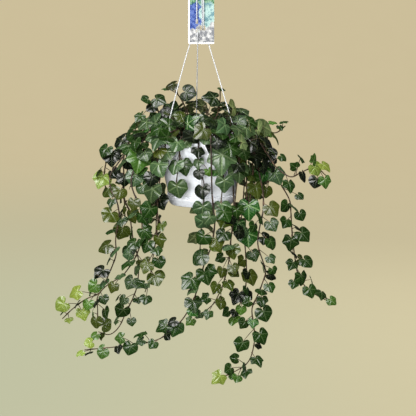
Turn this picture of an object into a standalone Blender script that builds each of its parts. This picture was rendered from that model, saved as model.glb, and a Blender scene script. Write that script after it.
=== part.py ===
"""Potted ivy in a hanging plastic pot: pot, clipped saucer, three-strand hanger, card, soil and vines.

Metres, +Z up. The origin is where the hook rests on whatever carries it, straight above the pot's
axis; -Y is the front. Every length below that is named or tabled is in millimetres, times MM.
"""

import math
import random

import bmesh
import bpy
from mathutils import Vector
from mathutils.bvhtree import BVHTree

MM = 0.001
GAP = 0.3  # between pieces that touch in the real thing
LATHE_SIDES = 24
UP = Vector((0, 0, 1))
FRONT = Vector((0, -1, 0))

# Pot: a rim with a hanging skirt, a tapered wall and a groove that the saucer snaps into.
RIM_Z, RIM_RADIUS = -305, 90
RIM_WIDTH, RIM_THICKNESS = 9.2, 2  # of the flat ring between the mouth and the skirt
SKIRT_DEPTH, SKIRT_THICKNESS = 18, 1.8
POT_DEPTH, BASE_RADIUS, FLOOR_THICKNESS = 125.6, 56, 2.2
MOUTH_RADIUS = RIM_RADIUS - RIM_WIDTH
BASE_Z = RIM_Z - POT_DEPTH
GROOVE_RADIUS, GROOVE_LOW, GROOVE_HIGH = 5.4, 14.4, 18.2  # out from and up from the edge of the base
SAUCER_GAP = 0.4  # all round where the saucer seats
SAUCER_THICKNESS = 2
SOIL_GAP = 0.6
SOIL_Z = RIM_Z - 17
DRAIN_HOLES, DRAIN_HOLE_RADIUS, DRAIN_HOLE_RING = 6, 4, 34


def from_rim(*places):
    """Radii and heights for places measured out and up from the mouth's edge."""
    return [(MOUTH_RADIUS + out, RIM_Z + up) for out, up in places]


def from_base(*places):
    """Radii and heights for places measured out and up from the edge of the pot's base."""
    return [(BASE_RADIUS + out, BASE_Z + up) for out, up in places]


POT_OUTLINE = [
    (0, BASE_Z + FLOOR_THICKNESS),
    *from_base((-1.5, FLOOR_THICKNESS), (1, 9.6), (3.3, 16.6), (6.3, 26.6)),
    *from_rim((-1.3, -25), (0, 0), (RIM_WIDTH - 1.4, 0), (RIM_WIDTH, -1.4), (RIM_WIDTH, -SKIRT_DEPTH)),
    *from_rim((RIM_WIDTH - SKIRT_THICKNESS, -SKIRT_DEPTH), (RIM_WIDTH - SKIRT_THICKNESS, -RIM_THICKNESS)),
    *from_rim((2.4, -RIM_THICKNESS), (0.7, -25)),
    *from_base((9, 26.6), (8.6, GROOVE_HIGH + 0.5), (GROOVE_RADIUS, GROOVE_HIGH)),
    *from_base((GROOVE_RADIUS, GROOVE_LOW), (6.3, GROOVE_LOW - 0.6), (6.3, GROOVE_LOW - 2.4)),
    *from_base((4.6, 10.4), (1.3, 0.8), (0, 0)),
    (0, BASE_Z),
]
SAUCER_OUTLINE = [
    (0, BASE_Z - SAUCER_GAP),
    *from_base((0.2, -SAUCER_GAP), (2, 0.6), (6.9, GROOVE_LOW - 3.3), (6.9, GROOVE_LOW - 0.2)),
    *from_base((GROOVE_RADIUS + SAUCER_GAP, GROOVE_LOW + SAUCER_GAP)),
    *from_base((GROOVE_RADIUS + SAUCER_GAP, GROOVE_HIGH - SAUCER_GAP), (8.8, GROOVE_HIGH - SAUCER_GAP)),
    *from_base((9.2, GROOVE_HIGH - 1.6), (9.2, 9.6), (3.5, 1 - SAUCER_GAP - SAUCER_THICKNESS)),
    *from_base((2, -SAUCER_GAP - SAUCER_THICKNESS)),
    (0, BASE_Z - SAUCER_GAP - SAUCER_THICKNESS),
]
SOIL_TOP = [*from_rim((-3.2, -19), (-20.8, -16), (-50.8, -14)), (0, RIM_Z - 13)]
SOIL_OUTLINE = [
    (0, BASE_Z + FLOOR_THICKNESS + SOIL_GAP),
    *from_base((-2, FLOOR_THICKNESS + SOIL_GAP), (6.2 - SOIL_GAP, 26.6)),
    *from_rim((-1.4 - SOIL_GAP, -25)),
    *SOIL_TOP,
]
STRAND_RADIUS = 1.0
STRAND_HOLE_RADIUS = STRAND_RADIUS + 0.6
TOP_BEAD = (1.2, STRAND_HOLE_RADIUS + 0.35)  # radii down the bead that stops a strand at the hub's hole
LOW_BEAD = (STRAND_HOLE_RADIUS + 0.15, 0.9)  # and down the one at the rim's hole
STRAND_HOLE_RING = RIM_RADIUS - 4.7
STRAND_ANGLES = {"back": 97, "left": 217, "right": 320}

# Each strand hangs from the hub by a bead, runs down over or behind the card, then on to its rim hole.
STRAND_STARTS = {
    "back": [
        (-8.5, -1.2, -20), (-8.5, -1.2, -84), (-8.3, 4.8, -94), (-8.1, 4.8, -101), (-7.8, -1.2, -111),
        (-7, -1.2, -131),
    ],
    "left": [
        (-0.2, -1.2, -20), (-0.2, -1.2, -35), (1.3, -1.2, -46), (1.3, -1.2, -95), (-0.8, 5, -107),
        (-22, 5, -133),
    ],
    "right": [
        (6, -1.2, -20), (6, -1.2, -35), (4.3, -1.2, -46), (4.3, -1.2, -95), (4.6, 5, -107), (14, 5, -133),
    ],
}

# The card, with the slots that the strands pass through as x, width, z and height.
CARD_X, CARD_Y, CARD_WIDTH, CARD_THICKNESS = -0.3, 2, 48.6, 0.5
CARD_TOP, CARD_BOTTOM = -38, -131
CARD_SLOTS = [(-8.5, 4.2, -89.3, 9), (-8, 4.2, -106.2, 9), (2.4, 9.6, -101.2, 9)]

# Hook: a round rod bent over the carrier, on a hub block that the strands hang from.
HOOK_ROD_RADIUS, HOOK_BEND_RADIUS = 2, 11
HUB_SIZE, HUB_CENTRE = (25, 11, 9), (-1, 0.6, -29.5)

# The vines' tables were laid out round a rim of this height and radius, and they follow the rim.
LAID_RIM_Z, LAID_RIM_RADIUS = -305, 90

# Vines that were laid out by eye: the route of the stem outside the pot as x, y, z, then the leaves as
# x, z, width. A route starts where the stem comes up over the soil or the rim.
VINES = {
    "crown_left_a": (
        [(-125, 5, -310), (-160, 10, -330), (-180, 15, -355), (-185, 18, -390), (-180, 15, -415)],
        [(-152, -322, 28), (-168, -350, 30), (-190, -392, 30), (-174, -412, 25), (-166, -384, 21)],
    ),
    "crown_left_b": (
        [(-100, -10, -295), (-130, -22, -305), (-145, -32, -335), (-145, -38, -380), (-145, -40, -405)],
        [(-136, -278, 27), (-138, -324, 23), (-134, -352, 25), (-144, -382, 23), (-154, -408, 21)],
    ),
    "crown_left_c": (
        [(-80, -35, -295), (-105, -58, -300), (-115, -68, -330), (-120, -74, -365), (-115, -76, -395)],
        [(-108, -274, 25), (-116, -316, 28), (-116, -344, 38), (-124, -376, 27), (-104, -394, 25)],
    ),
    "crown_front_a": (
        [(-55, -60, -295), (-75, -84, -300), (-80, -95, -330), (-85, -102, -375), (-85, -104, -410)],
        [(-68, -282, 30), (-80, -308, 34), (-76, -352, 32), (-92, -372, 23), (-88, -400, 34),
         (-74, -416, 25)],
    ),
    "crown_front_b": (
        [(-30, -70, -295), (-40, -97, -304), (-40, -106, -335), (-45, -108, -370), (-45, -108, -385)],
        [(-42, -258, 19), (-18, -268, 28), (-44, -314, 27), (-32, -350, 27), (-48, -350, 27),
         (-44, -392, 30)],
    ),
    "crown_front_c": (
        [(-5, -72, -295), (-5, -100, -302), (-5, -110, -345), (5, -114, -380), (5, -116, -420)],
        [(0, -292, 30), (-6, -322, 21), (-6, -342, 19), (14, -358, 15), (-4, -362, 17), (2, -394, 25),
         (2, -428, 28)],
    ),
    "crown_front_d": (
        [(25, -70, -295), (35, -98, -302), (40, -108, -335), (40, -112, -380), (35, -114, -420)],
        [(10, -318, 17), (36, -290, 27), (38, -310, 27), (38, -338, 44), (42, -380, 28), (38, -424, 27)],
    ),
    "crown_front_e": (
        [(50, -58, -295), (65, -84, -302), (70, -94, -340), (65, -98, -390), (60, -102, -440)],
        [(48, -254, 27), (62, -302, 23), (70, -362, 32), (80, -326, 23), (66, -436, 23), (42, -452, 27)],
    ),
    "crown_right_a": (
        [(65, -36, -295), (90, -54, -302), (95, -66, -340), (95, -74, -380), (90, -78, -420)],
        [(84, -288, 32), (74, -268, 23), (86, -360, 25), (100, -340, 27), (102, -398, 28), (88, -434, 34)],
    ),
    "crown_right_b": (
        [(75, -12, -295), (105, -22, -302), (120, -32, -335), (125, -38, -365), (125, -40, -395)],
        [(94, -278, 23), (112, -306, 17), (130, -338, 25), (114, -372, 32), (142, -376, 28),
         (122, -404, 21)],
    ),
    "top_left": (
        [(-45, 10, -290), (-75, 5, -270), (-85, 0, -250), (-100, -5, -240)],
        [(-118, -268, 19), (-94, -270, 21), (-106, -234, 17), (-78, -236, 25), (-96, -252, 19)],
    ),
    "top_mid": (
        [(-20, 25, -290), (-30, 22, -255), (-40, 18, -235), (-50, 15, -220)],
        [(-58, -210, 23), (-68, -204, 15), (-22, -224, 27), (-18, -240, 19), (-44, -260, 17)],
    ),
    "top_right": (
        [(20, 15, -290), (30, 12, -265), (35, 8, -240), (35, 5, -215)],
        [(16, -232, 30), (38, -244, 17), (38, -216, 13), (-4, -254, 25), (52, -250, 17)],
    ),
    "upper_right": (
        [(85, 20, -292), (110, 28, -294), (140, 34, -303), (160, 38, -290)],
        [(108, -280, 17), (136, -282, 15), (158, -282, 15), (128, -308, 19), (150, -294, 13)],
    ),
    "left_long": (
        [(-170, -38, -375), (-160, -55, -420), (-155, -60, -450), (-160, -62, -490), (-160, -60, -520),
         (-175, -55, -560), (-190, -50, -595), (-220, -45, -610), (-245, -40, -630), (-265, -38, -650)],
        [(-168, -424, 17), (-174, -448, 28), (-148, -458, 19), (-182, -506, 27), (-190, -556, 27),
         (-204, -584, 23), (-240, -596, 25), (-214, -620, 19), (-266, -622, 25), (-224, -638, 23),
         (-250, -650, 15)],
    ),
    "left_inner": (
        [(-130, -85, -375), (-115, -95, -420), (-110, -95, -480), (-125, -90, -525), (-145, -82, -555),
         (-180, -75, -580), (-195, -72, -600), (-195, -72, -625), (-195, -75, -645)],
        [(-126, -420, 21), (-106, -446, 25), (-128, -496, 23), (-102, -472, 25), (-138, -538, 27),
         (-166, -580, 19), (-182, -604, 17), (-178, -630, 21), (-198, -648, 21)],
    ),
    "left_loop": (
        [(-145, -15, -395), (-140, -22, -445), (-130, -26, -500), (-120, -30, -540), (-125, -35, -590),
         (-130, -38, -615), (-140, -40, -635), (-155, -42, -665), (-175, -44, -680), (-195, -46, -675)],
        [(-128, -456, 27), (-152, -484, 28), (-140, -522, 21), (-110, -540, 21), (-134, -578, 25),
         (-148, -612, 17), (-120, -612, 15), (-152, -634, 25), (-132, -654, 15), (-180, -654, 23),
         (-202, -680, 17)],
    ),
    "left_pot_side": (
        [(-80, -112, -400), (-80, -115, -450), (-85, -113, -490), (-90, -110, -520), (-95, -106, -555),
         (-105, -102, -585)],
        [(-98, -430, 28), (-72, -458, 19), (-76, -486, 23), (-102, -496, 25), (-78, -528, 21),
         (-102, -536, 23), (-84, -558, 28), (-112, -570, 23), (-104, -598, 19)],
    ),
    "front_long": (
        [(20, -124, -400), (25, -124, -450), (20, -122, -490), (5, -120, -530), (-10, -115, -585),
         (-35, -108, -635), (-80, -100, -675), (-145, -90, -690), (-220, -80, -700)],
        [(0, -452, 27), (46, -434, 27), (0, -480, 25), (30, -488, 25), (-6, -516, 28), (10, -550, 30),
         (-24, -562, 32), (-14, -606, 28), (-40, -614, 27), (-50, -654, 27), (-74, -648, 27),
         (-92, -684, 17), (-116, -664, 23), (-134, -694, 23), (-154, -672, 19), (-186, -706, 19),
         (-212, -684, 17), (-228, -704, 15)],
    ),
    "front_right": (
        [(60, -108, -420), (55, -115, -480), (50, -112, -530), (40, -108, -570), (20, -102, -610),
         (-10, -96, -635)],
        [(38, -476, 25), (58, -506, 25), (34, -518, 17), (38, -544, 19), (60, -538, 19), (26, -574, 19),
         (52, -570, 21), (6, -596, 19), (36, -606, 19), (12, -626, 17), (-22, -640, 17)],
    ),
    "right_inner": (
        [(85, -72, -415), (80, -78, -480), (85, -80, -540), (80, -78, -590), (60, -75, -640)],
        [(86, -486, 34), (66, -464, 27), (98, -520, 21), (74, -530, 21), (92, -562, 28), (66, -598, 28),
         (86, -586, 17), (74, -624, 17), (60, -644, 21), (46, -628, 17)],
    ),
    "right_long": (
        [(115, -82, -405), (110, -92, -455), (105, -92, -495), (115, -90, -530), (120, -88, -550),
         (105, -85, -595), (95, -82, -620), (100, -80, -680), (90, -80, -720), (65, -82, -740),
         (30, -84, -755)],
        [(132, -432, 27), (132, -460, 23), (130, -494, 23), (96, -464, 19), (130, -524, 17), (134, -546, 15),
         (128, -578, 19), (114, -604, 19), (84, -606, 17), (118, -630, 27), (78, -648, 19), (114, -674, 27),
         (74, -690, 25), (106, -720, 23), (60, -714, 17), (84, -744, 21), (50, -736, 19), (30, -752, 25),
         (66, -754, 17)],
    ),
    "far_right": (
        [(145, -30, -385), (165, -32, -420), (170, -34, -470), (175, -35, -520), (185, -36, -570),
         (205, -38, -595), (240, -40, -615)],
        [(156, -434, 21), (186, -414, 15), (188, -452, 19), (158, -464, 21), (194, -488, 27), (168, -504, 27),
         (200, -540, 23), (170, -544, 21), (190, -572, 25), (174, -582, 17), (206, -596, 23), (226, -602, 21),
         (248, -614, 17)],
    ),
    "right_shoot": (
        [(140, -72, -355), (165, -88, -370), (185, -98, -360), (210, -104, -350), (230, -108, -365)],
        [(152, -336, 15), (170, -346, 17), (164, -386, 23), (184, -336, 17), (190, -368, 21), (208, -332, 19),
         (212, -354, 23), (228, -348, 21), (210, -378, 21), (228, -376, 21)],
    ),
}

# Vines laid out by rule, all round the back and over the soil: angle in degrees, how far out the stem
# reaches, the height it ends at, how many leaves it carries and the width of the largest.
RULED_VINES = {
    "back_a": (-2, 118, -395, 8, 36),
    "back_b": (22, 112, -430, 9, 38),
    "back_c": (45, 120, -500, 10, 36),
    "back_d": (66, 112, -400, 8, 38),
    "back_e": (86, 122, -560, 11, 36),
    "back_f": (108, 112, -420, 9, 38),
    "back_g": (130, 124, -520, 10, 36),
    "back_h": (151, 130, -410, 8, 38),
    "back_i": (172, 146, -470, 10, 36),
    "inner_a": (35, 62, -268, 6, 38),
    "inner_b": (78, 64, -262, 5, 40),
    "inner_c": (125, 62, -266, 6, 38),
    "inner_d": (165, 66, -272, 6, 40),
    "inner_e": (208, 62, -266, 5, 38),
    "inner_f": (252, 56, -270, 6, 36),
    "inner_g": (300, 60, -272, 6, 38),
    "inner_h": (345, 60, -268, 5, 38),
}

# Leaves by rule on vines that were laid out by eye: how many, and the height of the stem down to which
# they grow. They fill in behind and between the others.
FILLERS = {
    "crown_left_a": (6, -400),
    "crown_left_b": (5, -390),
    "crown_left_c": (6, -390),
    "crown_front_a": (4, -345),
    "crown_front_b": (2, -305),
    "crown_front_c": (2, -310),
    "crown_front_d": (3, -360),
    "crown_front_e": (4, -390),
    "crown_right_a": (5, -400),
    "crown_right_b": (5, -385),
    "left_inner": (3, -370),
    "left_pot_side": (3, -400),
    "front_long": (2, -330),
    "front_right": (3, -350),
    "right_inner": (4, -400),
    "right_long": (2, -400),
    "far_right": (3, -370),
    "right_shoot": (2, -350),
}
FILLER_WIDTH = 38
CROWN_GROWTH, TRAIL_GROWTH = 1.14, 1.1  # how much wider the laid-out leaves grow, by the pot and below it

LEAF_THICKNESS = 0.9
STALK_RADIUS, STALK_ROOT_RADIUS = 0.7, 0.4  # at the blade and inside the stem
STEM_RADII = (1.5, 0.8)  # at the root and at the tip
STEM_STEP = 28  # between the rings of a stem
CLEARANCE = 0.5  # kept by the layout between a leaf and anything it doesn't grow from
TRIES = 40  # how often a stem or a leaf that isn't clear is moved before it is given up
LIFT_Z = RIM_Z - 45  # above this height the leaves turn more and more upwards

# Half of a leaf's edge as sideways and lengthwise shares of its width, from the notch to the tip.
BIG_LEAF_HALF = [(0.26, -0.16), (0.5, 0.14), (0.27, 0.42)]
SMALL_LEAF_HALF = [(0.26, -0.14), (0.5, 0.18)]
BLADE_MIDDLE, LEAF_TIP = (0, 0.26), (0, 0.8)
SMALL_LEAF = 24  # narrower leaves have no side lobes
CUPPING = 0.12  # how far the edges sink below the middle, as a share of the width


def polar(radius, degrees, z):
    angle = math.radians(degrees)
    return Vector((radius * math.cos(angle), radius * math.sin(angle), z)) * MM


def placed(x, y, z):
    """A place from the vines' tables, following the rim."""
    spread = RIM_RADIUS / LAID_RIM_RADIUS
    return Vector((x * spread, y * spread, z + RIM_Z - LAID_RIM_Z)) * MM


def smooth_route(points, step):
    """The curve through the points, as points about a step apart."""
    points = [points[0] * 2 - points[1], *points, points[-1] * 2 - points[-2]]
    route = []
    for before, start, end, after in zip(points, points[1:], points[2:], points[3:]):
        pieces = max(1, round((end - start).length / step))
        for piece in range(pieces):
            t = piece / pieces
            route.append(
                0.5 * (2 * start + (end - before) * t + (2 * before - 5 * start + 4 * end - after) * t**2
                       + (3 * start - before - 3 * end + after) * t**3)
            )
    return [*route, points[-2]]


def tube(points, radii, sides):
    """Vertices and faces of a closed round tube along the points."""
    verts, faces = [], []
    along = (points[1] - points[0]).normalized()
    across = along.orthogonal().normalized()
    for index, (point, radius) in enumerate(zip(points, radii)):
        ahead = points[min(index + 1, len(points) - 1)] - points[max(index - 1, 0)]
        across = (across - ahead.normalized() * across.dot(ahead.normalized())).normalized()
        third = ahead.normalized().cross(across)
        for side in range(sides):
            turn = math.tau * side / sides
            verts.append(point + (across * math.cos(turn) + third * math.sin(turn)) * radius)
    for ring in range(len(points) - 1):
        for side in range(sides):
            a = ring * sides + side
            b = ring * sides + (side + 1) % sides
            faces.append((a, b, b + sides, a + sides))
    faces.append(tuple(reversed(range(sides))))
    faces.append(tuple(range(len(verts) - sides, len(verts))))
    return verts, faces


def leaf_axes(middle, width, facing, start):
    """Where a blade's notch is, its normal, and the way to its tip, which droops away from the stem."""
    normal = facing.normalized()
    droop = (middle - start).normalized() - UP * 0.45
    tip_way = (droop - normal * droop.dot(normal)).normalized()
    return middle - tip_way * BLADE_MIDDLE[1] * width, normal, tip_way


def stalk_folds(middle, width, facing, start):
    """Whether the stalk would reach the notch from the blade's own side, through the blade."""
    base, normal, tip_way = leaf_axes(middle, width, facing, start)
    return (base - start).normalized().dot((normal + tip_way).normalized()) < 0.4


def leaf_solid(middle, width, facing, start, thickness):
    """A closed lobed cupped leaf with its stalk, as vertices, the blade's faces and the stalk's faces."""
    base, normal, tip_way = leaf_axes(middle, width, facing, start)
    side_way = tip_way.cross(normal)
    half = BIG_LEAF_HALF if width >= SMALL_LEAF * MM else SMALL_LEAF_HALF
    edge = [*half, LEAF_TIP, *[(-x, y) for x, y in reversed(half)]]
    notch = STALK_RADIUS * MM / width
    verts, rings = [], []
    for level, gap in ((0.5, [(-notch, 0), (notch, 0)]), (-0.5, [(0, 1.3 * notch)])):
        rings.append(list(range(len(verts), len(verts) + len(edge) + len(gap))))
        for x, y in [*edge, *gap, BLADE_MIDDLE]:
            sunk = CUPPING * (abs(x) + 0.5 * abs(y - BLADE_MIDDLE[1])) * width
            spot = base + side_way * x * width + tip_way * y * width
            verts.append(spot + normal * (level * thickness - sunk))
    top, bottom = rings
    blade = []
    for ring in rings:
        blade += [(a, b, ring[-1] + 1) for a, b in zip(ring, [*ring[1:], ring[0]])]
    upper, lower = [top[-1], *top[:-1]], [bottom[-1], *bottom]
    blade += [(a, b, d, c) for a, b, c, d in zip(upper, upper[1:], lower, lower[1:])]
    along = (base - start).normalized()
    across = (side_way - along * along.dot(side_way)).normalized()
    above = across.cross(along)
    above *= math.copysign(1, above.dot(normal - tip_way))
    for sideways, upward in ((-1, 0.6), (1, 0.6), (0, -0.8)):
        verts.append(start + (across * sideways + above * upward) * STALK_ROOT_RADIUS * MM)
    near, far = [top[-2], top[-1], bottom[-1]], range(len(verts) - 3, len(verts))
    stalk = [(near[a], near[b], far[b], far[a]) for a, b in ((0, 1), (1, 2), (2, 0))]
    return verts, blade, [*stalk, tuple(far)]


def lathe(outline, sides):
    """Vertices and faces of the outline's radii and heights turned about the Z axis, open or closed."""
    verts, faces, rings = [], [], []
    for radius, z in outline:
        if radius == 0:
            rings.append([len(verts)] * sides)
            verts.append(Vector((0, 0, z)) * MM)
        else:
            rings.append(list(range(len(verts), len(verts) + sides)))
            verts.extend(polar(radius, 360 * side / sides, z) for side in range(sides))
    for low, high in zip(rings, rings[1:]):
        for side in range(sides):
            after = (side + 1) % sides
            corners = dict.fromkeys((low[side], low[after], high[after], high[side]))
            if len(corners) > 2:
                faces.append(tuple(corners))
    return verts, faces


def joined(*meshes):
    verts, faces = [], []
    for more_verts, more_faces in meshes:
        faces.extend(tuple(corner + len(verts) for corner in face) for face in more_faces)
        verts.extend(more_verts)
    return verts, faces


def strand_route(name):
    """Down from the hub to straight through the hole in the rim."""
    hole = polar(STRAND_HOLE_RING, STRAND_ANGLES[name], 0)
    return [Vector(point) * MM for point in STRAND_STARTS[name]] + [
        hole + Vector((0, 0, RIM_Z + 4)) * MM,
        hole + Vector((0, 0, RIM_Z - 2.4)) * MM,
        hole + Vector((0, 0, RIM_Z - 6)) * MM,
    ]


def crosses_itself(verts, faces):
    """Whether two faces that share no corner cut each other."""
    tree = BVHTree.FromPolygons(verts, faces)
    return any(not set(faces[a]) & set(faces[b]) for a, b in tree.overlap(tree))


class Crowd:
    """Everything placed so far, to keep the next stem or leaf clear of it."""

    def __init__(self):
        self.members = []

    def add(self, mesh, owner=None):
        verts, faces = mesh
        low = Vector(min(vert[axis] for vert in verts) for axis in range(3))
        high = Vector(max(vert[axis] for vert in verts) for axis in range(3))
        self.members.append((low, high, BVHTree.FromPolygons(verts, faces), owner))

    def touches(self, mesh, ignoring=None):
        verts, faces = mesh
        low = Vector(min(vert[axis] for vert in verts) for axis in range(3))
        high = Vector(max(vert[axis] for vert in verts) for axis in range(3))
        near = [
            tree
            for member_low, member_high, tree, owner in self.members
            if (ignoring is None or owner != ignoring)
            and all(member_low[axis] <= high[axis] and low[axis] <= member_high[axis] for axis in range(3))
        ]
        if not near:
            return False
        own = BVHTree.FromPolygons(verts, faces)
        return any(own.overlap(tree) for tree in near)


def stem_radii(count, growth=0.0):
    thick, thin = STEM_RADII
    return [(thick + (thin - thick) * index / (count - 1) + growth) * MM for index in range(count)]


def routes_of_vines():
    """The points each stem goes through, from the soil on, with the way its leaves face."""
    routes = {}
    for number, (name, (outer, _)) in enumerate(VINES.items()):
        outer = [placed(*point) for point in outer]
        angle = math.degrees(math.atan2(outer[0].y, outer[0].x))
        inner = []
        if outer[0].xy.length > (MOUTH_RADIUS - 3) * MM:
            inner.append(polar(MOUTH_RADIUS - 15 + number % 3 * 4, angle, RIM_Z + 25 - number % 2 * 6))
        if outer[0].z < (RIM_Z - 20) * MM:
            inner.append(polar(RIM_RADIUS + 16, angle, RIM_Z + 13))
        root = polar(min(MOUTH_RADIUS - 15, 20 + number * 17 % 46), angle + number % 3 * 8 - 8, SOIL_Z)
        routes[name] = [root, *inner, *outer]
    for number, (name, (angle, reach, end, _, _)) in enumerate(RULED_VINES.items()):
        reach *= RIM_RADIUS / LAID_RIM_RADIUS
        end += RIM_Z - LAID_RIM_Z
        route = [polar(16 + number * 11 % 40, angle - 12, SOIL_Z)]
        if reach > RIM_RADIUS:
            route += [
                polar(MOUTH_RADIUS - 9, angle, RIM_Z + 29),
                polar(0.86 * reach, angle, RIM_Z + 19),
                polar(reach, angle, RIM_Z - 25),
                polar(reach + 3, angle + 3, (RIM_Z - 35 + end) / 2),
                polar(reach, angle + 6, end),
            ]
        else:
            route += [polar(0.62 * reach, angle, RIM_Z + 13), polar(reach, angle, end)]
        routes[name] = route
    return routes


def grown_stem(crowd, name, points, chance):
    """A route for the stem that is clear of the crowd, moved a little at a time until it is."""
    for attempt in range(TRIES):
        shift = 0.9 * attempt * MM
        moved = [points[0] + Vector((chance.uniform(-1, 1), chance.uniform(-1, 1), 0)) * shift]
        for point in points[1:]:
            nudge = Vector((chance.uniform(-1, 1), chance.uniform(-1, 1), chance.uniform(-0.3, 0.6)))
            moved.append(point + nudge * shift * (0.35 if point.z < RIM_Z * MM else 1))
        moved[0].z = soil_height(moved[0]) + (GAP + STEM_RADII[0]) * MM
        route = smooth_route(moved, STEM_STEP * MM)
        grown = tube(route, stem_radii(len(route), CLEARANCE), 4)
        if not crowd.touches(grown) and not crosses_itself(*grown):
            return route
    raise RuntimeError(f"{name} has no clear route")


def soil_height(point):
    """The height of the soil's top under a point."""
    radius = math.hypot(point.x, point.y) / MM
    for (outer, low), (inner, high) in zip(SOIL_TOP, SOIL_TOP[1:]):
        if inner <= radius <= outer:
            return (low + (high - low) * (outer - radius) / (outer - inner)) * MM
    raise ValueError("outside the soil")


def laid_leaves(name, route, chance):
    """The leaves of a vine that was laid out by eye, in leaf_wishes's terms."""
    for x, z, width in VINES[name][1]:
        spot = placed(x, 0, z)
        near = min(
            range(1, len(route)),
            key=lambda index: math.hypot(route[index].x - spot.x, route[index].z - spot.z),
        )
        start = route[max(1, near - 1)].lerp(route[near], chance.uniform(0.3, 0.7))
        middle = Vector((spot.x, route[near].y - chance.uniform(6, 14) * MM, spot.z))
        outward = Vector((middle.x, middle.y, 0)).normalized()
        growth = CROWN_GROWTH if name.startswith("crown") else TRAIL_GROWTH
        lift = min(1.3, max(0, (spot.z / MM - LIFT_Z) / 80)) + chance.uniform(0.25, 0.8)
        yield middle, width * growth * MM, FRONT + outward * 0.4 + UP * lift, start


def ruled_leaves(route, first, last, count, largest, lift, chance):
    """Leaves on alternate sides of a stem between two of its points, smaller towards its tip."""
    for number in range(count):
        share = (number + 0.6) / count
        at = first + share * (last - first)
        index = min(int(at), last - 1)
        start = route[index].lerp(route[index + 1], min(0.7, max(0.3, at - index)))
        outward = Vector((start.x, start.y, 0)).normalized()
        sideways = UP.cross(outward) * (1 if number % 2 else -1)
        width = largest * (1 - 0.4 * share) * MM
        middle = start + sideways * width * chance.uniform(0.4, 0.75) + outward * 9 * MM
        middle += UP * chance.uniform(-6, 3) * MM
        yield middle, width, outward + UP * lift, start


def leaf_wishes(name, route, chance):
    """For each leaf of a vine: the middle of its blade, its width, its facing and where it grows from."""
    if name in VINES:
        yield from laid_leaves(name, route, chance)
        if name in FILLERS:
            count, end = FILLERS[name]
            last = max(index for index, point in enumerate(route) if point.z > placed(0, 0, end).z)
            yield from ruled_leaves(route, 2, last, count, FILLER_WIDTH, 0.7, chance)
    else:
        _, reach, _, count, largest = RULED_VINES[name]
        over_rim = reach > LAID_RIM_RADIUS
        first, lift = (3, 0.5) if over_rim else (2, 1.6)
        yield from ruled_leaves(route, first, len(route) - 1, count, largest, lift, chance)


def shaken(chance, amount):
    return Vector(chance.uniform(-amount, amount) for _ in range(3))


def grown_leaves(crowd, name, wishes, chance):
    """The wished leaves, each moved and turned a little until it is clear of the crowd, or left out."""
    leaves = []
    for middle, width, facing, start in wishes:
        ahead = facing.normalized()
        for attempt in range(TRIES):
            spread = chance.uniform(0.15, 0.5) + 0.02 * attempt
            offset = (attempt + 1) // 2 * (1.5 if attempt % 2 else -1) * MM
            leaf = (
                middle + ahead * offset + shaken(chance, 0.3 * attempt * MM),
                width * (1 - 0.006 * attempt),
                ahead + shaken(chance, spread),
                start,
            )
            verts, blade, stalk = leaf_solid(*leaf, LEAF_THICKNESS * MM)
            if stalk_folds(*leaf) or crosses_itself(verts, blade + stalk):
                continue
            verts, blade, stalk = leaf_solid(*leaf, (LEAF_THICKNESS + 2 * CLEARANCE) * MM)
            if not crowd.touches((verts, blade)) and not crowd.touches((verts, stalk), ignoring=name):
                crowd.add((verts, blade))
                crowd.add((verts, stalk), owner=name)
                leaves.append(leaf)
                break
    return leaves


def layout(crowd):
    """For each vine, its stem's route and its leaves, all clear of each other and of the made parts."""
    for outline in (POT_OUTLINE[5:-1], SAUCER_OUTLINE[6:]):
        crowd.add(lathe([(radius + 1, z) for radius, z in outline], LATHE_SIDES))
    crowd.add(lathe([(radius, z - CLEARANCE - 0.1) for radius, z in SOIL_TOP], LATHE_SIDES))
    for name in STRAND_STARTS:
        route = strand_route(name)
        crowd.add(tube(route, [(STRAND_RADIUS + 1) * MM] * len(route), 5))
    stems = {}
    for number, (name, points) in enumerate(routes_of_vines().items()):
        stems[name] = grown_stem(crowd, name, points, random.Random(number))
        crowd.add(tube(stems[name], stem_radii(len(stems[name])), 4), owner=name)
    vines = {}
    for number, (name, route) in enumerate(stems.items()):
        chance = random.Random(1000 + number)
        vines[name] = route, grown_leaves(crowd, name, leaf_wishes(name, route, chance), chance)
    return vines


def new_object(name, mesh, colour, roughness):
    verts, faces = mesh
    data = bpy.data.meshes.new(name)
    data.from_pydata([vert[:] for vert in verts], [], faces)
    shell = bmesh.new()
    shell.from_mesh(data)
    bmesh.ops.recalc_face_normals(shell, faces=shell.faces)
    bmesh.ops.triangulate(shell, faces=shell.faces)
    if shell.calc_volume(signed=True) < 0:
        bmesh.ops.reverse_faces(shell, faces=shell.faces)
    shell.to_mesh(data)
    shell.free()
    obj = bpy.data.objects.new(name, data)
    bpy.context.scene.collection.objects.link(obj)
    material = bpy.data.materials.new(name)
    material.use_nodes = True
    shader = material.node_tree.nodes["Principled BSDF"]
    shader.inputs["Base Color"].default_value = (*colour, 1)
    shader.inputs["Roughness"].default_value = roughness
    data.materials.append(material)
    return obj


def combine(obj, operation, name, mesh):
    """Cuts the mesh out of the object or joins it on, as a Boolean whose other half isn't rendered."""
    other = new_object(name, mesh, (0.5, 0.5, 0.5), 0.5)
    other.hide_render = True
    other.display_type = "WIRE"
    boolean = obj.modifiers.new(name, "BOOLEAN")
    boolean.operation = operation
    boolean.solver = "EXACT"
    boolean.object = other


def block(centre, size):
    """Vertices and faces of an upright box."""
    verts = [
        Vector(centre[axis] + sign[axis] * size[axis] / 2 for axis in range(3)) * MM
        for sign in [(x, y, z) for z in (-1, 1) for x, y in ((-1, -1), (1, -1), (1, 1), (-1, 1))]
    ]
    faces = [(3, 2, 1, 0), (4, 5, 6, 7), *[(a, (a + 1) % 4, (a + 1) % 4 + 4, a + 4) for a in range(4)]]
    return verts, faces


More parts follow.
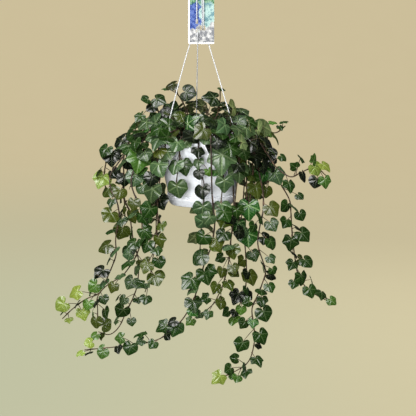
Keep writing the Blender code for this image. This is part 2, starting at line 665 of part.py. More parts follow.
def upright_bars(spots, radius, low, high, sides):
    """Vertices and faces of straight upright bars at the spots, to cut holes with."""
    bars = []
    for spot in spots:
        ends = [Vector((spot.x, spot.y, height * MM)) for height in (low, high)]
        bars.append(tube(ends, [radius * MM] * 2, sides))
    return joined(*bars)


def build_hanger():
    white = (0.85, 0.86, 0.88)
    hub = new_object("hanger_hook", block(HUB_CENTRE, HUB_SIZE), white, 0.35)
    tops = [Vector(points[0]) * MM for points in STRAND_STARTS.values()]
    combine(hub, "DIFFERENCE", "hub_holes", upright_bars(tops, STRAND_HOLE_RADIUS, -40, -20, 8))
    bend_centre = Vector((0, 0, -HOOK_BEND_RADIUS + HOOK_ROD_RADIUS))
    rod = [Vector((0, 3.8, -30)), Vector((0, 3.8, -23)), Vector((-4, 2.5, -18.5)), Vector((-9.2, 1, -14.5))]
    for degrees in range(180, -1, -18):
        angle = math.radians(degrees)
        rod.append(bend_centre + Vector((math.cos(angle), 0, math.sin(angle))) * HOOK_BEND_RADIUS)
    bent = tube([point * MM for point in rod], [HOOK_ROD_RADIUS * MM] * len(rod), 8)
    combine(hub, "UNION", "hook_rod", bent)
    for name in STRAND_STARTS:
        start, *middle, bead, end = strand_route(name)
        top_bead = start - UP * 3.4 * MM
        step = UP * 0.3 * MM
        route = [start, top_bead, top_bead - step, *middle, bead + step, bead, end]
        radii = [TOP_BEAD[0], TOP_BEAD[1], *[STRAND_RADIUS] * (len(route) - 4), *LOW_BEAD]
        new_object(f"hanger_strand_{name}", tube(route, [radius * MM for radius in radii], 6), white, 0.4)
    card_centre = (CARD_X, CARD_Y, (CARD_TOP + CARD_BOTTOM) / 2)
    card_size = (CARD_WIDTH, CARD_THICKNESS, CARD_TOP - CARD_BOTTOM)
    card = new_object("label_card", block(card_centre, card_size), (0.5, 0.6, 0.6), 0.4)
    slots = [
        block((x, CARD_Y, z), (width, 8 * CARD_THICKNESS, height)) for x, width, z, height in CARD_SLOTS
    ]
    combine(card, "DIFFERENCE", "card_slots", joined(*slots))


def build_pot():
    pot = new_object("pot", lathe(POT_OUTLINE, LATHE_SIDES), (0.86, 0.88, 0.92), 0.35)
    holes = [polar(STRAND_HOLE_RING, angle, 0) for angle in STRAND_ANGLES.values()]
    rim_bars = upright_bars(holes, STRAND_HOLE_RADIUS, RIM_Z - 7, RIM_Z + 5, 8)
    combine(pot, "DIFFERENCE", "rim_holes", rim_bars)
    drains = [polar(DRAIN_HOLE_RING, 360 * number / DRAIN_HOLES, 0) for number in range(DRAIN_HOLES)]
    floor_bars = upright_bars(drains, DRAIN_HOLE_RADIUS, BASE_Z - 3, BASE_Z + 2 * FLOOR_THICKNESS, 10)
    combine(pot, "DIFFERENCE", "drain_holes", floor_bars)
    new_object("saucer", lathe(SAUCER_OUTLINE, LATHE_SIDES), (0.86, 0.88, 0.92), 0.35)
    new_object("soil", lathe(SOIL_OUTLINE, LATHE_SIDES), (0.05, 0.03, 0.02), 0.95)


def build_vines():
    for name, (route, leaves) in layout(Crowd()).items():
        vine = new_object(f"vine_{name}", tube(route, stem_radii(len(route)), 4), (0.05, 0.14, 0.03), 0.4)
        for number, leaf in enumerate(leaves):
            verts, blade, stalk = leaf_solid(*leaf, LEAF_THICKNESS * MM)
            combine(vine, "UNION", f"leaf_{name}_{number}", (verts, blade + stalk))


for old in list(bpy.data.objects):
    bpy.data.objects.remove(old)
build_hanger()
build_pot()
build_vines()
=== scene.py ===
"""The looks of the potted ivy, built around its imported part.

Metres, +Z up, in the part's own frame: the origin is where the hook rests, and -Y is the front. The
camera, the lights and the scales of the materials are in metres. Every other length that is named or
tabled is in millimetres, times MM. The tables and the layout of the vines are the part's own, so that
each leaf grows at its CAD leaf's place, though its blade is turned a little from it.
"""

import math
import random

import bmesh
import bpy
from mathutils import Matrix, Vector, noise
from mathutils.bvhtree import BVHTree


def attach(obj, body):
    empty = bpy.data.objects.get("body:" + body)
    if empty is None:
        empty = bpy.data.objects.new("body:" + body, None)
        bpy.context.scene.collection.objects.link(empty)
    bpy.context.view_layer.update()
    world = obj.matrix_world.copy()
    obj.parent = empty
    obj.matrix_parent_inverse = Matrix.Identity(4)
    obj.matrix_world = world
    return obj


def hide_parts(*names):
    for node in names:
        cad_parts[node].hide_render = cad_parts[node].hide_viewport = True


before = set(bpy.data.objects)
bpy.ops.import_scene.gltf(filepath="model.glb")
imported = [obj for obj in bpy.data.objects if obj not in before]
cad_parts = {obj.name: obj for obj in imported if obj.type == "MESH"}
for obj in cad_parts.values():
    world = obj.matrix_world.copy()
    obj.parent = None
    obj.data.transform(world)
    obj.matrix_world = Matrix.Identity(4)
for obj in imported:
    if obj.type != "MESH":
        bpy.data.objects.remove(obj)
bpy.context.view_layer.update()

# The camera looks at AIM from the front, a little above; the view is VIEW_WIDTH metres wide there.
AIM = Vector((0.0124, 0, -0.4425))
VIEW_WIDTH = 0.790
CAMERA_DISTANCE = 4.0
CAMERA_ELEVATION = 9
WORLD_STRENGTH = 0.05
LIGHTS = {  # place, size, power, colour and whether it shows in gloss
    "key": ((-1.2, -2.2, 2.2), (2.6, 2.2), 230, (1.0, 0.99, 0.965), True),
    "front": ((-0.5, -3.6, 0.1), (1.1, 1.1), 130, (1.0, 1.0, 1.0), False),
    "fill": ((2.2, -2.4, 0.2), (1.2, 1.6), 20, (0.97, 0.985, 1.0), False),
    "top": ((0.3, 0.2, 2.4), (2.2, 2.2), 40, (1.0, 1.0, 1.0), False),
    "back": ((0.6, 2.8, 0.9), (1.8, 1.4), 100, (1.0, 0.99, 0.96), False),
}

MM = 0.001
GAP = 0.3  # between pieces that touch in the real thing
LATHE_SIDES = 24
UP = Vector((0, 0, 1))
FRONT = Vector((0, -1, 0))

# Pot: a rim with a hanging skirt, a tapered wall and a groove that the saucer snaps into.
RIM_Z, RIM_RADIUS = -305, 90
RIM_WIDTH, RIM_THICKNESS = 9.2, 2  # of the flat ring between the mouth and the skirt
SKIRT_DEPTH, SKIRT_THICKNESS = 18, 1.8
POT_DEPTH, BASE_RADIUS, FLOOR_THICKNESS = 125.6, 56, 2.2
MOUTH_RADIUS = RIM_RADIUS - RIM_WIDTH
BASE_Z = RIM_Z - POT_DEPTH
GROOVE_RADIUS, GROOVE_LOW, GROOVE_HIGH = 5.4, 14.4, 18.2  # out from and up from the edge of the base
SAUCER_GAP = 0.4  # all round where the saucer seats
SAUCER_THICKNESS = 2
SOIL_GAP = 0.6
SOIL_Z = RIM_Z - 17
DRAIN_HOLES, DRAIN_HOLE_RADIUS, DRAIN_HOLE_RING = 6, 4, 34


def from_rim(*places):
    """Radii and heights for places measured out and up from the mouth's edge."""
    return [(MOUTH_RADIUS + out, RIM_Z + up) for out, up in places]


def from_base(*places):
    """Radii and heights for places measured out and up from the edge of the pot's base."""
    return [(BASE_RADIUS + out, BASE_Z + up) for out, up in places]


POT_OUTLINE = [
    (0, BASE_Z + FLOOR_THICKNESS),
    *from_base((-1.5, FLOOR_THICKNESS), (1, 9.6), (3.3, 16.6), (6.3, 26.6)),
    *from_rim((-1.3, -25), (0, 0), (RIM_WIDTH - 1.4, 0), (RIM_WIDTH, -1.4), (RIM_WIDTH, -SKIRT_DEPTH)),
    *from_rim((RIM_WIDTH - SKIRT_THICKNESS, -SKIRT_DEPTH), (RIM_WIDTH - SKIRT_THICKNESS, -RIM_THICKNESS)),
    *from_rim((2.4, -RIM_THICKNESS), (0.7, -25)),
    *from_base((9, 26.6), (8.6, GROOVE_HIGH + 0.5), (GROOVE_RADIUS, GROOVE_HIGH)),
    *from_base((GROOVE_RADIUS, GROOVE_LOW), (6.3, GROOVE_LOW - 0.6), (6.3, GROOVE_LOW - 2.4)),
    *from_base((4.6, 10.4), (1.3, 0.8), (0, 0)),
    (0, BASE_Z),
]
SAUCER_OUTLINE = [
    (0, BASE_Z - SAUCER_GAP),
    *from_base((0.2, -SAUCER_GAP), (2, 0.6), (6.9, GROOVE_LOW - 3.3), (6.9, GROOVE_LOW - 0.2)),
    *from_base((GROOVE_RADIUS + SAUCER_GAP, GROOVE_LOW + SAUCER_GAP)),
    *from_base((GROOVE_RADIUS + SAUCER_GAP, GROOVE_HIGH - SAUCER_GAP), (8.8, GROOVE_HIGH - SAUCER_GAP)),
    *from_base((9.2, GROOVE_HIGH - 1.6), (9.2, 9.6), (3.5, 1 - SAUCER_GAP - SAUCER_THICKNESS)),
    *from_base((2, -SAUCER_GAP - SAUCER_THICKNESS)),
    (0, BASE_Z - SAUCER_GAP - SAUCER_THICKNESS),
]
SOIL_TOP = [*from_rim((-3.2, -19), (-20.8, -16), (-50.8, -14)), (0, RIM_Z - 13)]
SOIL_OUTLINE = [
    (0, BASE_Z + FLOOR_THICKNESS + SOIL_GAP),
    *from_base((-2, FLOOR_THICKNESS + SOIL_GAP), (6.2 - SOIL_GAP, 26.6)),
    *from_rim((-1.4 - SOIL_GAP, -25)),
    *SOIL_TOP,
]
STRAND_RADIUS = 1.0
STRAND_HOLE_RADIUS = STRAND_RADIUS + 0.6
TOP_BEAD = (1.2, STRAND_HOLE_RADIUS + 0.35)  # radii down the bead that stops a strand at the hub's hole
LOW_BEAD = (STRAND_HOLE_RADIUS + 0.15, 0.9)  # and down the one at the rim's hole
STRAND_HOLE_RING = RIM_RADIUS - 4.7
STRAND_ANGLES = {"back": 97, "left": 217, "right": 320}

# Each strand hangs from the hub by a bead, runs down over or behind the card, then on to its rim hole.
STRAND_STARTS = {
    "back": [
        (-8.5, -1.2, -20), (-8.5, -1.2, -84), (-8.3, 4.8, -94), (-8.1, 4.8, -101), (-7.8, -1.2, -111),
        (-7, -1.2, -131),
    ],
    "left": [
        (-0.2, -1.2, -20), (-0.2, -1.2, -35), (1.3, -1.2, -46), (1.3, -1.2, -95), (-0.8, 5, -107),
        (-22, 5, -133),
    ],
    "right": [
        (6, -1.2, -20), (6, -1.2, -35), (4.3, -1.2, -46), (4.3, -1.2, -95), (4.6, 5, -107), (14, 5, -133),
    ],
}

# The card, with the slots that the strands pass through as x, width, z and height.
CARD_X, CARD_Y, CARD_WIDTH, CARD_THICKNESS = -0.3, 2, 48.6, 0.5
CARD_TOP, CARD_BOTTOM = -38, -131
CARD_SLOTS = [(-8.5, 4.2, -89.3, 9), (-8, 4.2, -106.2, 9), (2.4, 9.6, -101.2, 9)]

# Hook: a round rod bent over the carrier, on a hub block that the strands hang from.
HOOK_ROD_RADIUS, HOOK_BEND_RADIUS = 2, 11
HUB_SIZE, HUB_CENTRE = (25, 11, 9), (-1, 0.6, -29.5)

# The vines' tables were laid out round a rim of this height and radius, and they follow the rim.
LAID_RIM_Z, LAID_RIM_RADIUS = -305, 90

# Vines that were laid out one by one: the route of the stem outside the pot as x, y, z, then the leaves as
# x, z, width. A route starts where the stem comes up over the soil or the rim.
VINES = {
    "crown_left_a": (
        [(-125, 5, -310), (-160, 10, -330), (-180, 15, -355), (-185, 18, -390), (-180, 15, -415)],
        [(-152, -322, 28), (-168, -350, 30), (-190, -392, 30), (-174, -412, 25), (-166, -384, 21)],
    ),
    "crown_left_b": (
        [(-100, -10, -295), (-130, -22, -305), (-145, -32, -335), (-145, -38, -380), (-145, -40, -405)],
        [(-136, -278, 27), (-138, -324, 23), (-134, -352, 25), (-144, -382, 23), (-154, -408, 21)],
    ),
    "crown_left_c": (
        [(-80, -35, -295), (-105, -58, -300), (-115, -68, -330), (-120, -74, -365), (-115, -76, -395)],
        [(-108, -274, 25), (-116, -316, 28), (-116, -344, 38), (-124, -376, 27), (-104, -394, 25)],
    ),
    "crown_front_a": (
        [(-55, -60, -295), (-75, -84, -300), (-80, -95, -330), (-85, -102, -375), (-85, -104, -410)],
        [(-68, -282, 30), (-80, -308, 34), (-76, -352, 32), (-92, -372, 23), (-88, -400, 34),
         (-74, -416, 25)],
    ),
    "crown_front_b": (
        [(-30, -70, -295), (-40, -97, -304), (-40, -106, -335), (-45, -108, -370), (-45, -108, -385)],
        [(-42, -258, 19), (-18, -268, 28), (-44, -314, 27), (-32, -350, 27), (-48, -350, 27),
         (-44, -392, 30)],
    ),
    "crown_front_c": (
        [(-5, -72, -295), (-5, -100, -302), (-5, -110, -345), (5, -114, -380), (5, -116, -420)],
        [(0, -292, 30), (-6, -322, 21), (-6, -342, 19), (14, -358, 15), (-4, -362, 17), (2, -394, 25),
         (2, -428, 28)],
    ),
    "crown_front_d": (
        [(25, -70, -295), (35, -98, -302), (40, -108, -335), (40, -112, -380), (35, -114, -420)],
        [(10, -318, 17), (36, -290, 27), (38, -310, 27), (38, -338, 44), (42, -380, 28), (38, -424, 27)],
    ),
    "crown_front_e": (
        [(50, -58, -295), (65, -84, -302), (70, -94, -340), (65, -98, -390), (60, -102, -440)],
        [(48, -254, 27), (62, -302, 23), (70, -362, 32), (80, -326, 23), (66, -436, 23), (42, -452, 27)],
    ),
    "crown_right_a": (
        [(65, -36, -295), (90, -54, -302), (95, -66, -340), (95, -74, -380), (90, -78, -420)],
        [(84, -288, 32), (74, -268, 23), (86, -360, 25), (100, -340, 27), (102, -398, 28),
         (88, -434, 34)],
    ),
    "crown_right_b": (
        [(75, -12, -295), (105, -22, -302), (120, -32, -335), (125, -38, -365), (125, -40, -395)],
        [(94, -278, 23), (112, -306, 17), (130, -338, 25), (114, -372, 32), (142, -376, 28),
         (122, -404, 21)],
    ),
    "top_left": (
        [(-45, 10, -290), (-75, 5, -270), (-85, 0, -250), (-100, -5, -240)],
        [(-118, -268, 19), (-94, -270, 21), (-106, -234, 17), (-78, -236, 25), (-96, -252, 19)],
    ),
    "top_mid": (
        [(-20, 25, -290), (-30, 22, -255), (-40, 18, -235), (-50, 15, -220)],
        [(-58, -210, 23), (-68, -204, 15), (-22, -224, 27), (-18, -240, 19), (-44, -260, 17)],
    ),
    "top_right": (
        [(20, 15, -290), (30, 12, -265), (35, 8, -240), (35, 5, -215)],
        [(16, -232, 30), (38, -244, 17), (38, -216, 13), (-4, -254, 25), (52, -250, 17)],
    ),
    "upper_right": (
        [(85, 20, -292), (110, 28, -294), (140, 34, -303), (160, 38, -290)],
        [(108, -280, 17), (136, -282, 15), (158, -282, 15), (128, -308, 19), (150, -294, 13)],
    ),
    "left_long": (
        [(-170, -38, -375), (-160, -55, -420), (-155, -60, -450), (-160, -62, -490), (-160, -60, -520),
         (-175, -55, -560), (-190, -50, -595), (-220, -45, -610), (-245, -40, -630), (-265, -38, -650)],
        [(-168, -424, 17), (-174, -448, 28), (-148, -458, 19), (-182, -506, 27), (-190, -556, 27),
         (-204, -584, 23), (-240, -596, 25), (-214, -620, 19), (-266, -622, 25), (-224, -638, 23),
         (-250, -650, 15)],
    ),
    "left_inner": (
        [(-130, -85, -375), (-115, -95, -420), (-110, -95, -480), (-125, -90, -525), (-145, -82, -555),
         (-180, -75, -580), (-195, -72, -600), (-195, -72, -625), (-195, -75, -645)],
        [(-126, -420, 21), (-106, -446, 25), (-128, -496, 23), (-102, -472, 25), (-138, -538, 27),
         (-166, -580, 19), (-182, -604, 17), (-178, -630, 21), (-198, -648, 21)],
    ),
    "left_loop": (
        [(-145, -15, -395), (-140, -22, -445), (-130, -26, -500), (-120, -30, -540), (-125, -35, -590),
         (-130, -38, -615), (-140, -40, -635), (-155, -42, -665), (-175, -44, -680), (-195, -46, -675)],
        [(-128, -456, 27), (-152, -484, 28), (-140, -522, 21), (-110, -540, 21), (-134, -578, 25),
         (-148, -612, 17), (-120, -612, 15), (-152, -634, 25), (-132, -654, 15), (-180, -654, 23),
         (-202, -680, 17)],
    ),
    "left_pot_side": (
        [(-80, -112, -400), (-80, -115, -450), (-85, -113, -490), (-90, -110, -520), (-95, -106, -555),
         (-105, -102, -585)],
        [(-98, -430, 28), (-72, -458, 19), (-76, -486, 23), (-102, -496, 25), (-78, -528, 21),
         (-102, -536, 23), (-84, -558, 28), (-112, -570, 23), (-104, -598, 19)],
    ),
    "front_long": (
        [(20, -124, -400), (25, -124, -450), (20, -122, -490), (5, -120, -530), (-10, -115, -585),
         (-35, -108, -635), (-80, -100, -675), (-145, -90, -690), (-220, -80, -700)],
        [(0, -452, 27), (46, -434, 27), (0, -480, 25), (30, -488, 25), (-6, -516, 28), (10, -550, 30),
         (-24, -562, 32), (-14, -606, 28), (-40, -614, 27), (-50, -654, 27), (-74, -648, 27),
         (-92, -684, 17), (-116, -664, 23), (-134, -694, 23), (-154, -672, 19), (-186, -706, 19),
         (-212, -684, 17), (-228, -704, 15)],
    ),
    "front_right": (
        [(60, -108, -420), (55, -115, -480), (50, -112, -530), (40, -108, -570), (20, -102, -610),
         (-10, -96, -635)],
        [(38, -476, 25), (58, -506, 25), (34, -518, 17), (38, -544, 19), (60, -538, 19), (26, -574, 19),
         (52, -570, 21), (6, -596, 19), (36, -606, 19), (12, -626, 17), (-22, -640, 17)],
    ),
    "right_inner": (
        [(85, -72, -415), (80, -78, -480), (85, -80, -540), (80, -78, -590), (60, -75, -640)],
        [(86, -486, 34), (66, -464, 27), (98, -520, 21), (74, -530, 21), (92, -562, 28), (66, -598, 28),
         (86, -586, 17), (74, -624, 17), (60, -644, 21), (46, -628, 17)],
    ),
    "right_long": (
        [(115, -82, -405), (110, -92, -455), (105, -92, -495), (115, -90, -530), (120, -88, -550),
         (105, -85, -595), (95, -82, -620), (100, -80, -680), (90, -80, -720), (65, -82, -740),
         (30, -84, -755)],
        [(132, -432, 27), (132, -460, 23), (130, -494, 23), (96, -464, 19), (130, -524, 17),
         (134, -546, 15), (128, -578, 19), (114, -604, 19), (84, -606, 17), (118, -630, 27),
         (78, -648, 19), (114, -674, 27), (74, -690, 25), (106, -720, 23), (60, -714, 17),
         (84, -744, 21), (50, -736, 19), (30, -752, 25), (66, -754, 17)],
    ),
    "far_right": (
        [(145, -30, -385), (165, -32, -420), (170, -34, -470), (175, -35, -520), (185, -36, -570),
         (205, -38, -595), (240, -40, -615)],
        [(156, -434, 21), (186, -414, 15), (188, -452, 19), (158, -464, 21), (194, -488, 27),
         (168, -504, 27), (200, -540, 23), (170, -544, 21), (190, -572, 25), (174, -582, 17),
         (206, -596, 23), (226, -602, 21), (248, -614, 17)],
    ),
    "right_shoot": (
        [(140, -72, -355), (165, -88, -370), (185, -98, -360), (210, -104, -350), (230, -108, -365)],
        [(152, -336, 15), (170, -346, 17), (164, -386, 23), (184, -336, 17), (190, -368, 21),
         (208, -332, 19), (212, -354, 23), (228, -348, 21), (210, -378, 21), (228, -376, 21)],
    ),
}

# Vines laid out by rule, all round the back and over the soil: angle in degrees, how far out the stem
# reaches, the height it ends at, how many leaves it carries and the width of the largest.
RULED_VINES = {
    "back_a": (-2, 118, -395, 8, 36),
    "back_b": (22, 112, -430, 9, 38),
    "back_c": (45, 120, -500, 10, 36),
    "back_d": (66, 112, -400, 8, 38),
    "back_e": (86, 122, -560, 11, 36),
    "back_f": (108, 112, -420, 9, 38),
    "back_g": (130, 124, -520, 10, 36),
    "back_h": (151, 130, -410, 8, 38),
    "back_i": (172, 146, -470, 10, 36),
    "inner_a": (35, 62, -268, 6, 38),
    "inner_b": (78, 64, -262, 5, 40),
    "inner_c": (125, 62, -266, 6, 38),
    "inner_d": (165, 66, -272, 6, 40),
    "inner_e": (208, 62, -266, 5, 38),
    "inner_f": (252, 56, -270, 6, 36),
    "inner_g": (300, 60, -272, 6, 38),
    "inner_h": (345, 60, -268, 5, 38),
}

# Leaves by rule on vines that were laid out one by one: how many, and the height of the stem down to which
# they grow. They fill in behind and between the others.
FILLERS = {
    "crown_left_a": (6, -400),
    "crown_left_b": (5, -390),
    "crown_left_c": (6, -390),
    "crown_front_a": (4, -345),
    "crown_front_b": (2, -305),
    "crown_front_c": (2, -310),
    "crown_front_d": (3, -360),
    "crown_front_e": (4, -390),
    "crown_right_a": (5, -400),
    "crown_right_b": (5, -385),
    "left_inner": (3, -370),
    "left_pot_side": (3, -400),
    "front_long": (2, -330),
    "front_right": (3, -350),
    "right_inner": (4, -400),
    "right_long": (2, -400),
    "far_right": (3, -370),
    "right_shoot": (2, -350),
}
FILLER_WIDTH = 38
CROWN_GROWTH, TRAIL_GROWTH = 1.14, 1.1  # how much wider the laid-out leaves grow, by the pot and below it

LEAF_THICKNESS = 0.9
STALK_RADIUS, STALK_ROOT_RADIUS = 0.7, 0.4  # at the blade and inside the stem
STEM_RADII = (1.5, 0.8)  # at the root and at the tip
STEM_STEP = 28  # between the rings of a stem
CLEARANCE = 0.5  # kept by the layout between a leaf and anything it doesn't grow from
TRIES = 40  # how often a stem or a leaf that isn't clear is moved before it is given up
LIFT_Z = RIM_Z - 45  # above this height the leaves turn more and more upwards

# Half of a leaf's edge as sideways and lengthwise shares of its width, from the notch to the tip.
BIG_LEAF_HALF = [(0.26, -0.16), (0.5, 0.14), (0.27, 0.42)]
SMALL_LEAF_HALF = [(0.26, -0.14), (0.5, 0.18)]
BLADE_MIDDLE, LEAF_TIP = (0, 0.26), (0, 0.8)
SMALL_LEAF = 24  # narrower leaves have no side lobes
CUPPING = 0.12  # how far the edges sink below the middle, as a share of the width


def polar(radius, degrees, z):
    angle = math.radians(degrees)
    return Vector((radius * math.cos(angle), radius * math.sin(angle), z)) * MM


def placed(x, y, z):
    """A place from the vines' tables, following the rim."""
    spread = RIM_RADIUS / LAID_RIM_RADIUS
    return Vector((x * spread, y * spread, z + RIM_Z - LAID_RIM_Z)) * MM


def smooth_route(points, step):
    """The curve through the points, as points about a step apart."""
    points = [points[0] * 2 - points[1], *points, points[-1] * 2 - points[-2]]
    route = []
    for before, start, end, after in zip(points, points[1:], points[2:], points[3:]):
        pieces = max(1, round((end - start).length / step))
        for piece in range(pieces):
            t = piece / pieces
            route.append(
                0.5 * (2 * start + (end - before) * t + (2 * before - 5 * start + 4 * end - after) * t**2
                       + (3 * start - before - 3 * end + after) * t**3)
            )
    return [*route, points[-2]]


def tube(points, radii, sides):
    """Vertices and faces of a closed round tube along the points."""
    verts, faces = [], []
    along = (points[1] - points[0]).normalized()
    across = along.orthogonal().normalized()
    for index, (point, radius) in enumerate(zip(points, radii)):
        ahead = points[min(index + 1, len(points) - 1)] - points[max(index - 1, 0)]
        across = (across - ahead.normalized() * across.dot(ahead.normalized())).normalized()
        third = ahead.normalized().cross(across)
        for side in range(sides):
            turn = math.tau * side / sides
            verts.append(point + (across * math.cos(turn) + third * math.sin(turn)) * radius)
    for ring in range(len(points) - 1):
        for side in range(sides):
            a = ring * sides + side
            b = ring * sides + (side + 1) % sides
            faces.append((a, b, b + sides, a + sides))
    faces.append(tuple(reversed(range(sides))))
    faces.append(tuple(range(len(verts) - sides, len(verts))))
    return verts, faces


def leaf_axes(middle, width, facing, start):
    """Where a blade's notch is, its normal, and the way to its tip, which droops away from the stem."""
    normal = facing.normalized()
    droop = (middle - start).normalized() - UP * 0.45
    tip_way = (droop - normal * droop.dot(normal)).normalized()
    return middle - tip_way * BLADE_MIDDLE[1] * width, normal, tip_way


def stalk_folds(middle, width, facing, start):
    """Whether the stalk would reach the notch from the blade's own side, through the blade."""
    base, normal, tip_way = leaf_axes(middle, width, facing, start)
    return (base - start).normalized().dot((normal + tip_way).normalized()) < 0.4


def leaf_solid(middle, width, facing, start, thickness):
    """A closed lobed cupped leaf with its stalk, as vertices, the blade's faces and the stalk's faces."""
    base, normal, tip_way = leaf_axes(middle, width, facing, start)
    side_way = tip_way.cross(normal)
    half = BIG_LEAF_HALF if width >= SMALL_LEAF * MM else SMALL_LEAF_HALF
    edge = [*half, LEAF_TIP, *[(-x, y) for x, y in reversed(half)]]
    notch = STALK_RADIUS * MM / width
    verts, rings = [], []
    for level, gap in ((0.5, [(-notch, 0), (notch, 0)]), (-0.5, [(0, 1.3 * notch)])):
        rings.append(list(range(len(verts), len(verts) + len(edge) + len(gap))))
        for x, y in [*edge, *gap, BLADE_MIDDLE]:
            sunk = CUPPING * (abs(x) + 0.5 * abs(y - BLADE_MIDDLE[1])) * width
            spot = base + side_way * x * width + tip_way * y * width
            verts.append(spot + normal * (level * thickness - sunk))
    top, bottom = rings
    blade = []
    for ring in rings:
        blade += [(a, b, ring[-1] + 1) for a, b in zip(ring, [*ring[1:], ring[0]])]
    upper, lower = [top[-1], *top[:-1]], [bottom[-1], *bottom]
    blade += [(a, b, d, c) for a, b, c, d in zip(upper, upper[1:], lower, lower[1:])]
    along = (base - start).normalized()
    across = (side_way - along * along.dot(side_way)).normalized()
    above = across.cross(along)
    above *= math.copysign(1, above.dot(normal - tip_way))
    for sideways, upward in ((-1, 0.6), (1, 0.6), (0, -0.8)):
        verts.append(start + (across * sideways + above * upward) * STALK_ROOT_RADIUS * MM)
    near, far = [top[-2], top[-1], bottom[-1]], range(len(verts) - 3, len(verts))
    stalk = [(near[a], near[b], far[b], far[a]) for a, b in ((0, 1), (1, 2), (2, 0))]
    return verts, blade, [*stalk, tuple(far)]


def lathe(outline, sides):
    """Vertices and faces of the outline's radii and heights turned about the Z axis, open or closed."""
    verts, faces, rings = [], [], []
    for radius, z in outline:
        if radius == 0:
            rings.append([len(verts)] * sides)
            verts.append(Vector((0, 0, z)) * MM)
        else:
            rings.append(list(range(len(verts), len(verts) + sides)))
            verts.extend(polar(radius, 360 * side / sides, z) for side in range(sides))
    for low, high in zip(rings, rings[1:]):
        for side in range(sides):
            after = (side + 1) % sides
            corners = dict.fromkeys((low[side], low[after], high[after], high[side]))
            if len(corners) > 2:
                faces.append(tuple(corners))
    return verts, faces


def joined(*meshes):
    verts, faces = [], []
    for more_verts, more_faces in meshes:
        faces.extend(tuple(corner + len(verts) for corner in face) for face in more_faces)
        verts.extend(more_verts)
    return verts, faces


def strand_route(name):
    """Down from the hub to straight through the hole in the rim."""
    hole = polar(STRAND_HOLE_RING, STRAND_ANGLES[name], 0)
    return [Vector(point) * MM for point in STRAND_STARTS[name]] + [
        hole + Vector((0, 0, RIM_Z + 4)) * MM,
        hole + Vector((0, 0, RIM_Z - 2.4)) * MM,
        hole + Vector((0, 0, RIM_Z - 6)) * MM,
    ]


def crosses_itself(verts, faces):
    """Whether two faces that share no corner cut each other."""
    tree = BVHTree.FromPolygons(verts, faces)
    return any(not set(faces[a]) & set(faces[b]) for a, b in tree.overlap(tree))


def box_around(verts):
    """The lowest and the highest corner of the box around the vertices."""
    return [Vector(extreme(vert[axis] for vert in verts) for axis in range(3)) for extreme in (min, max)]


class Crowd:
    """Everything placed so far, to keep the next stem or leaf clear of it."""

    def __init__(self):
        self.members = []

    def add(self, mesh, owner=None):
        verts, faces = mesh
        low, high = box_around(verts)
        self.members.append((low, high, BVHTree.FromPolygons(verts, faces), owner))

    def touches(self, mesh, ignoring=None):
        verts, faces = mesh
        low, high = box_around(verts)
        near = [
            tree
            for member_low, member_high, tree, owner in self.members
            if (ignoring is None or owner != ignoring)
            and all(member_low[axis] <= high[axis] and low[axis] <= member_high[axis] for axis in range(3))
        ]
        if not near:
            return False
        own = BVHTree.FromPolygons(verts, faces)
        return any(own.overlap(tree) for tree in near)


def stem_radii(count, growth=0.0):
    thick, thin = STEM_RADII
    return [(thick + (thin - thick) * index / (count - 1) + growth) * MM for index in range(count)]


def routes_of_vines():
    """The points each stem goes through, from the soil on, with the way its leaves face."""
    routes = {}
    for number, (name, (outer, _)) in enumerate(VINES.items()):
        outer = [placed(*point) for point in outer]
        angle = math.degrees(math.atan2(outer[0].y, outer[0].x))
        inner = []
        if outer[0].xy.length > (MOUTH_RADIUS - 3) * MM:
            inner.append(polar(MOUTH_RADIUS - 15 + number % 3 * 4, angle, RIM_Z + 25 - number % 2 * 6))
        if outer[0].z < (RIM_Z - 20) * MM:
            inner.append(polar(RIM_RADIUS + 16, angle, RIM_Z + 13))
        root = polar(min(MOUTH_RADIUS - 15, 20 + number * 17 % 46), angle + number % 3 * 8 - 8, SOIL_Z)
        routes[name] = [root, *inner, *outer]
    for number, (name, (angle, reach, end, _, _)) in enumerate(RULED_VINES.items()):
        reach *= RIM_RADIUS / LAID_RIM_RADIUS
        end += RIM_Z - LAID_RIM_Z
        route = [polar(16 + number * 11 % 40, angle - 12, SOIL_Z)]
        if reach > RIM_RADIUS:
            route += [
                polar(MOUTH_RADIUS - 9, angle, RIM_Z + 29),
                polar(0.86 * reach, angle, RIM_Z + 19),
                polar(reach, angle, RIM_Z - 25),
                polar(reach + 3, angle + 3, (RIM_Z - 35 + end) / 2),
                polar(reach, angle + 6, end),
            ]
        else:
            route += [polar(0.62 * reach, angle, RIM_Z + 13), polar(reach, angle, end)]
        routes[name] = route
    return routes


def grown_stem(crowd, name, points, chance):
    """A route for the stem that is clear of the crowd, moved a little at a time until it is."""
    for attempt in range(TRIES):
        shift = 0.9 * attempt * MM
        moved = [points[0] + Vector((chance.uniform(-1, 1), chance.uniform(-1, 1), 0)) * shift]
        for point in points[1:]:
            nudge = Vector((chance.uniform(-1, 1), chance.uniform(-1, 1), chance.uniform(-0.3, 0.6)))
            moved.append(point + nudge * shift * (0.35 if point.z < RIM_Z * MM else 1))
        moved[0].z = soil_height(moved[0]) + (GAP + STEM_RADII[0]) * MM
        route = smooth_route(moved, STEM_STEP * MM)
        grown = tube(route, stem_radii(len(route), CLEARANCE), 4)
        if not crowd.touches(grown) and not crosses_itself(*grown):
            return route
    raise RuntimeError(f"{name} has no clear route")


def soil_height(point):
    """The height of the soil's top under a point."""
    radius = math.hypot(point.x, point.y) / MM
    for (outer, low), (inner, high) in zip(SOIL_TOP, SOIL_TOP[1:]):
        if inner <= radius <= outer:
            return (low + (high - low) * (outer - radius) / (outer - inner)) * MM
    raise ValueError("outside the soil")


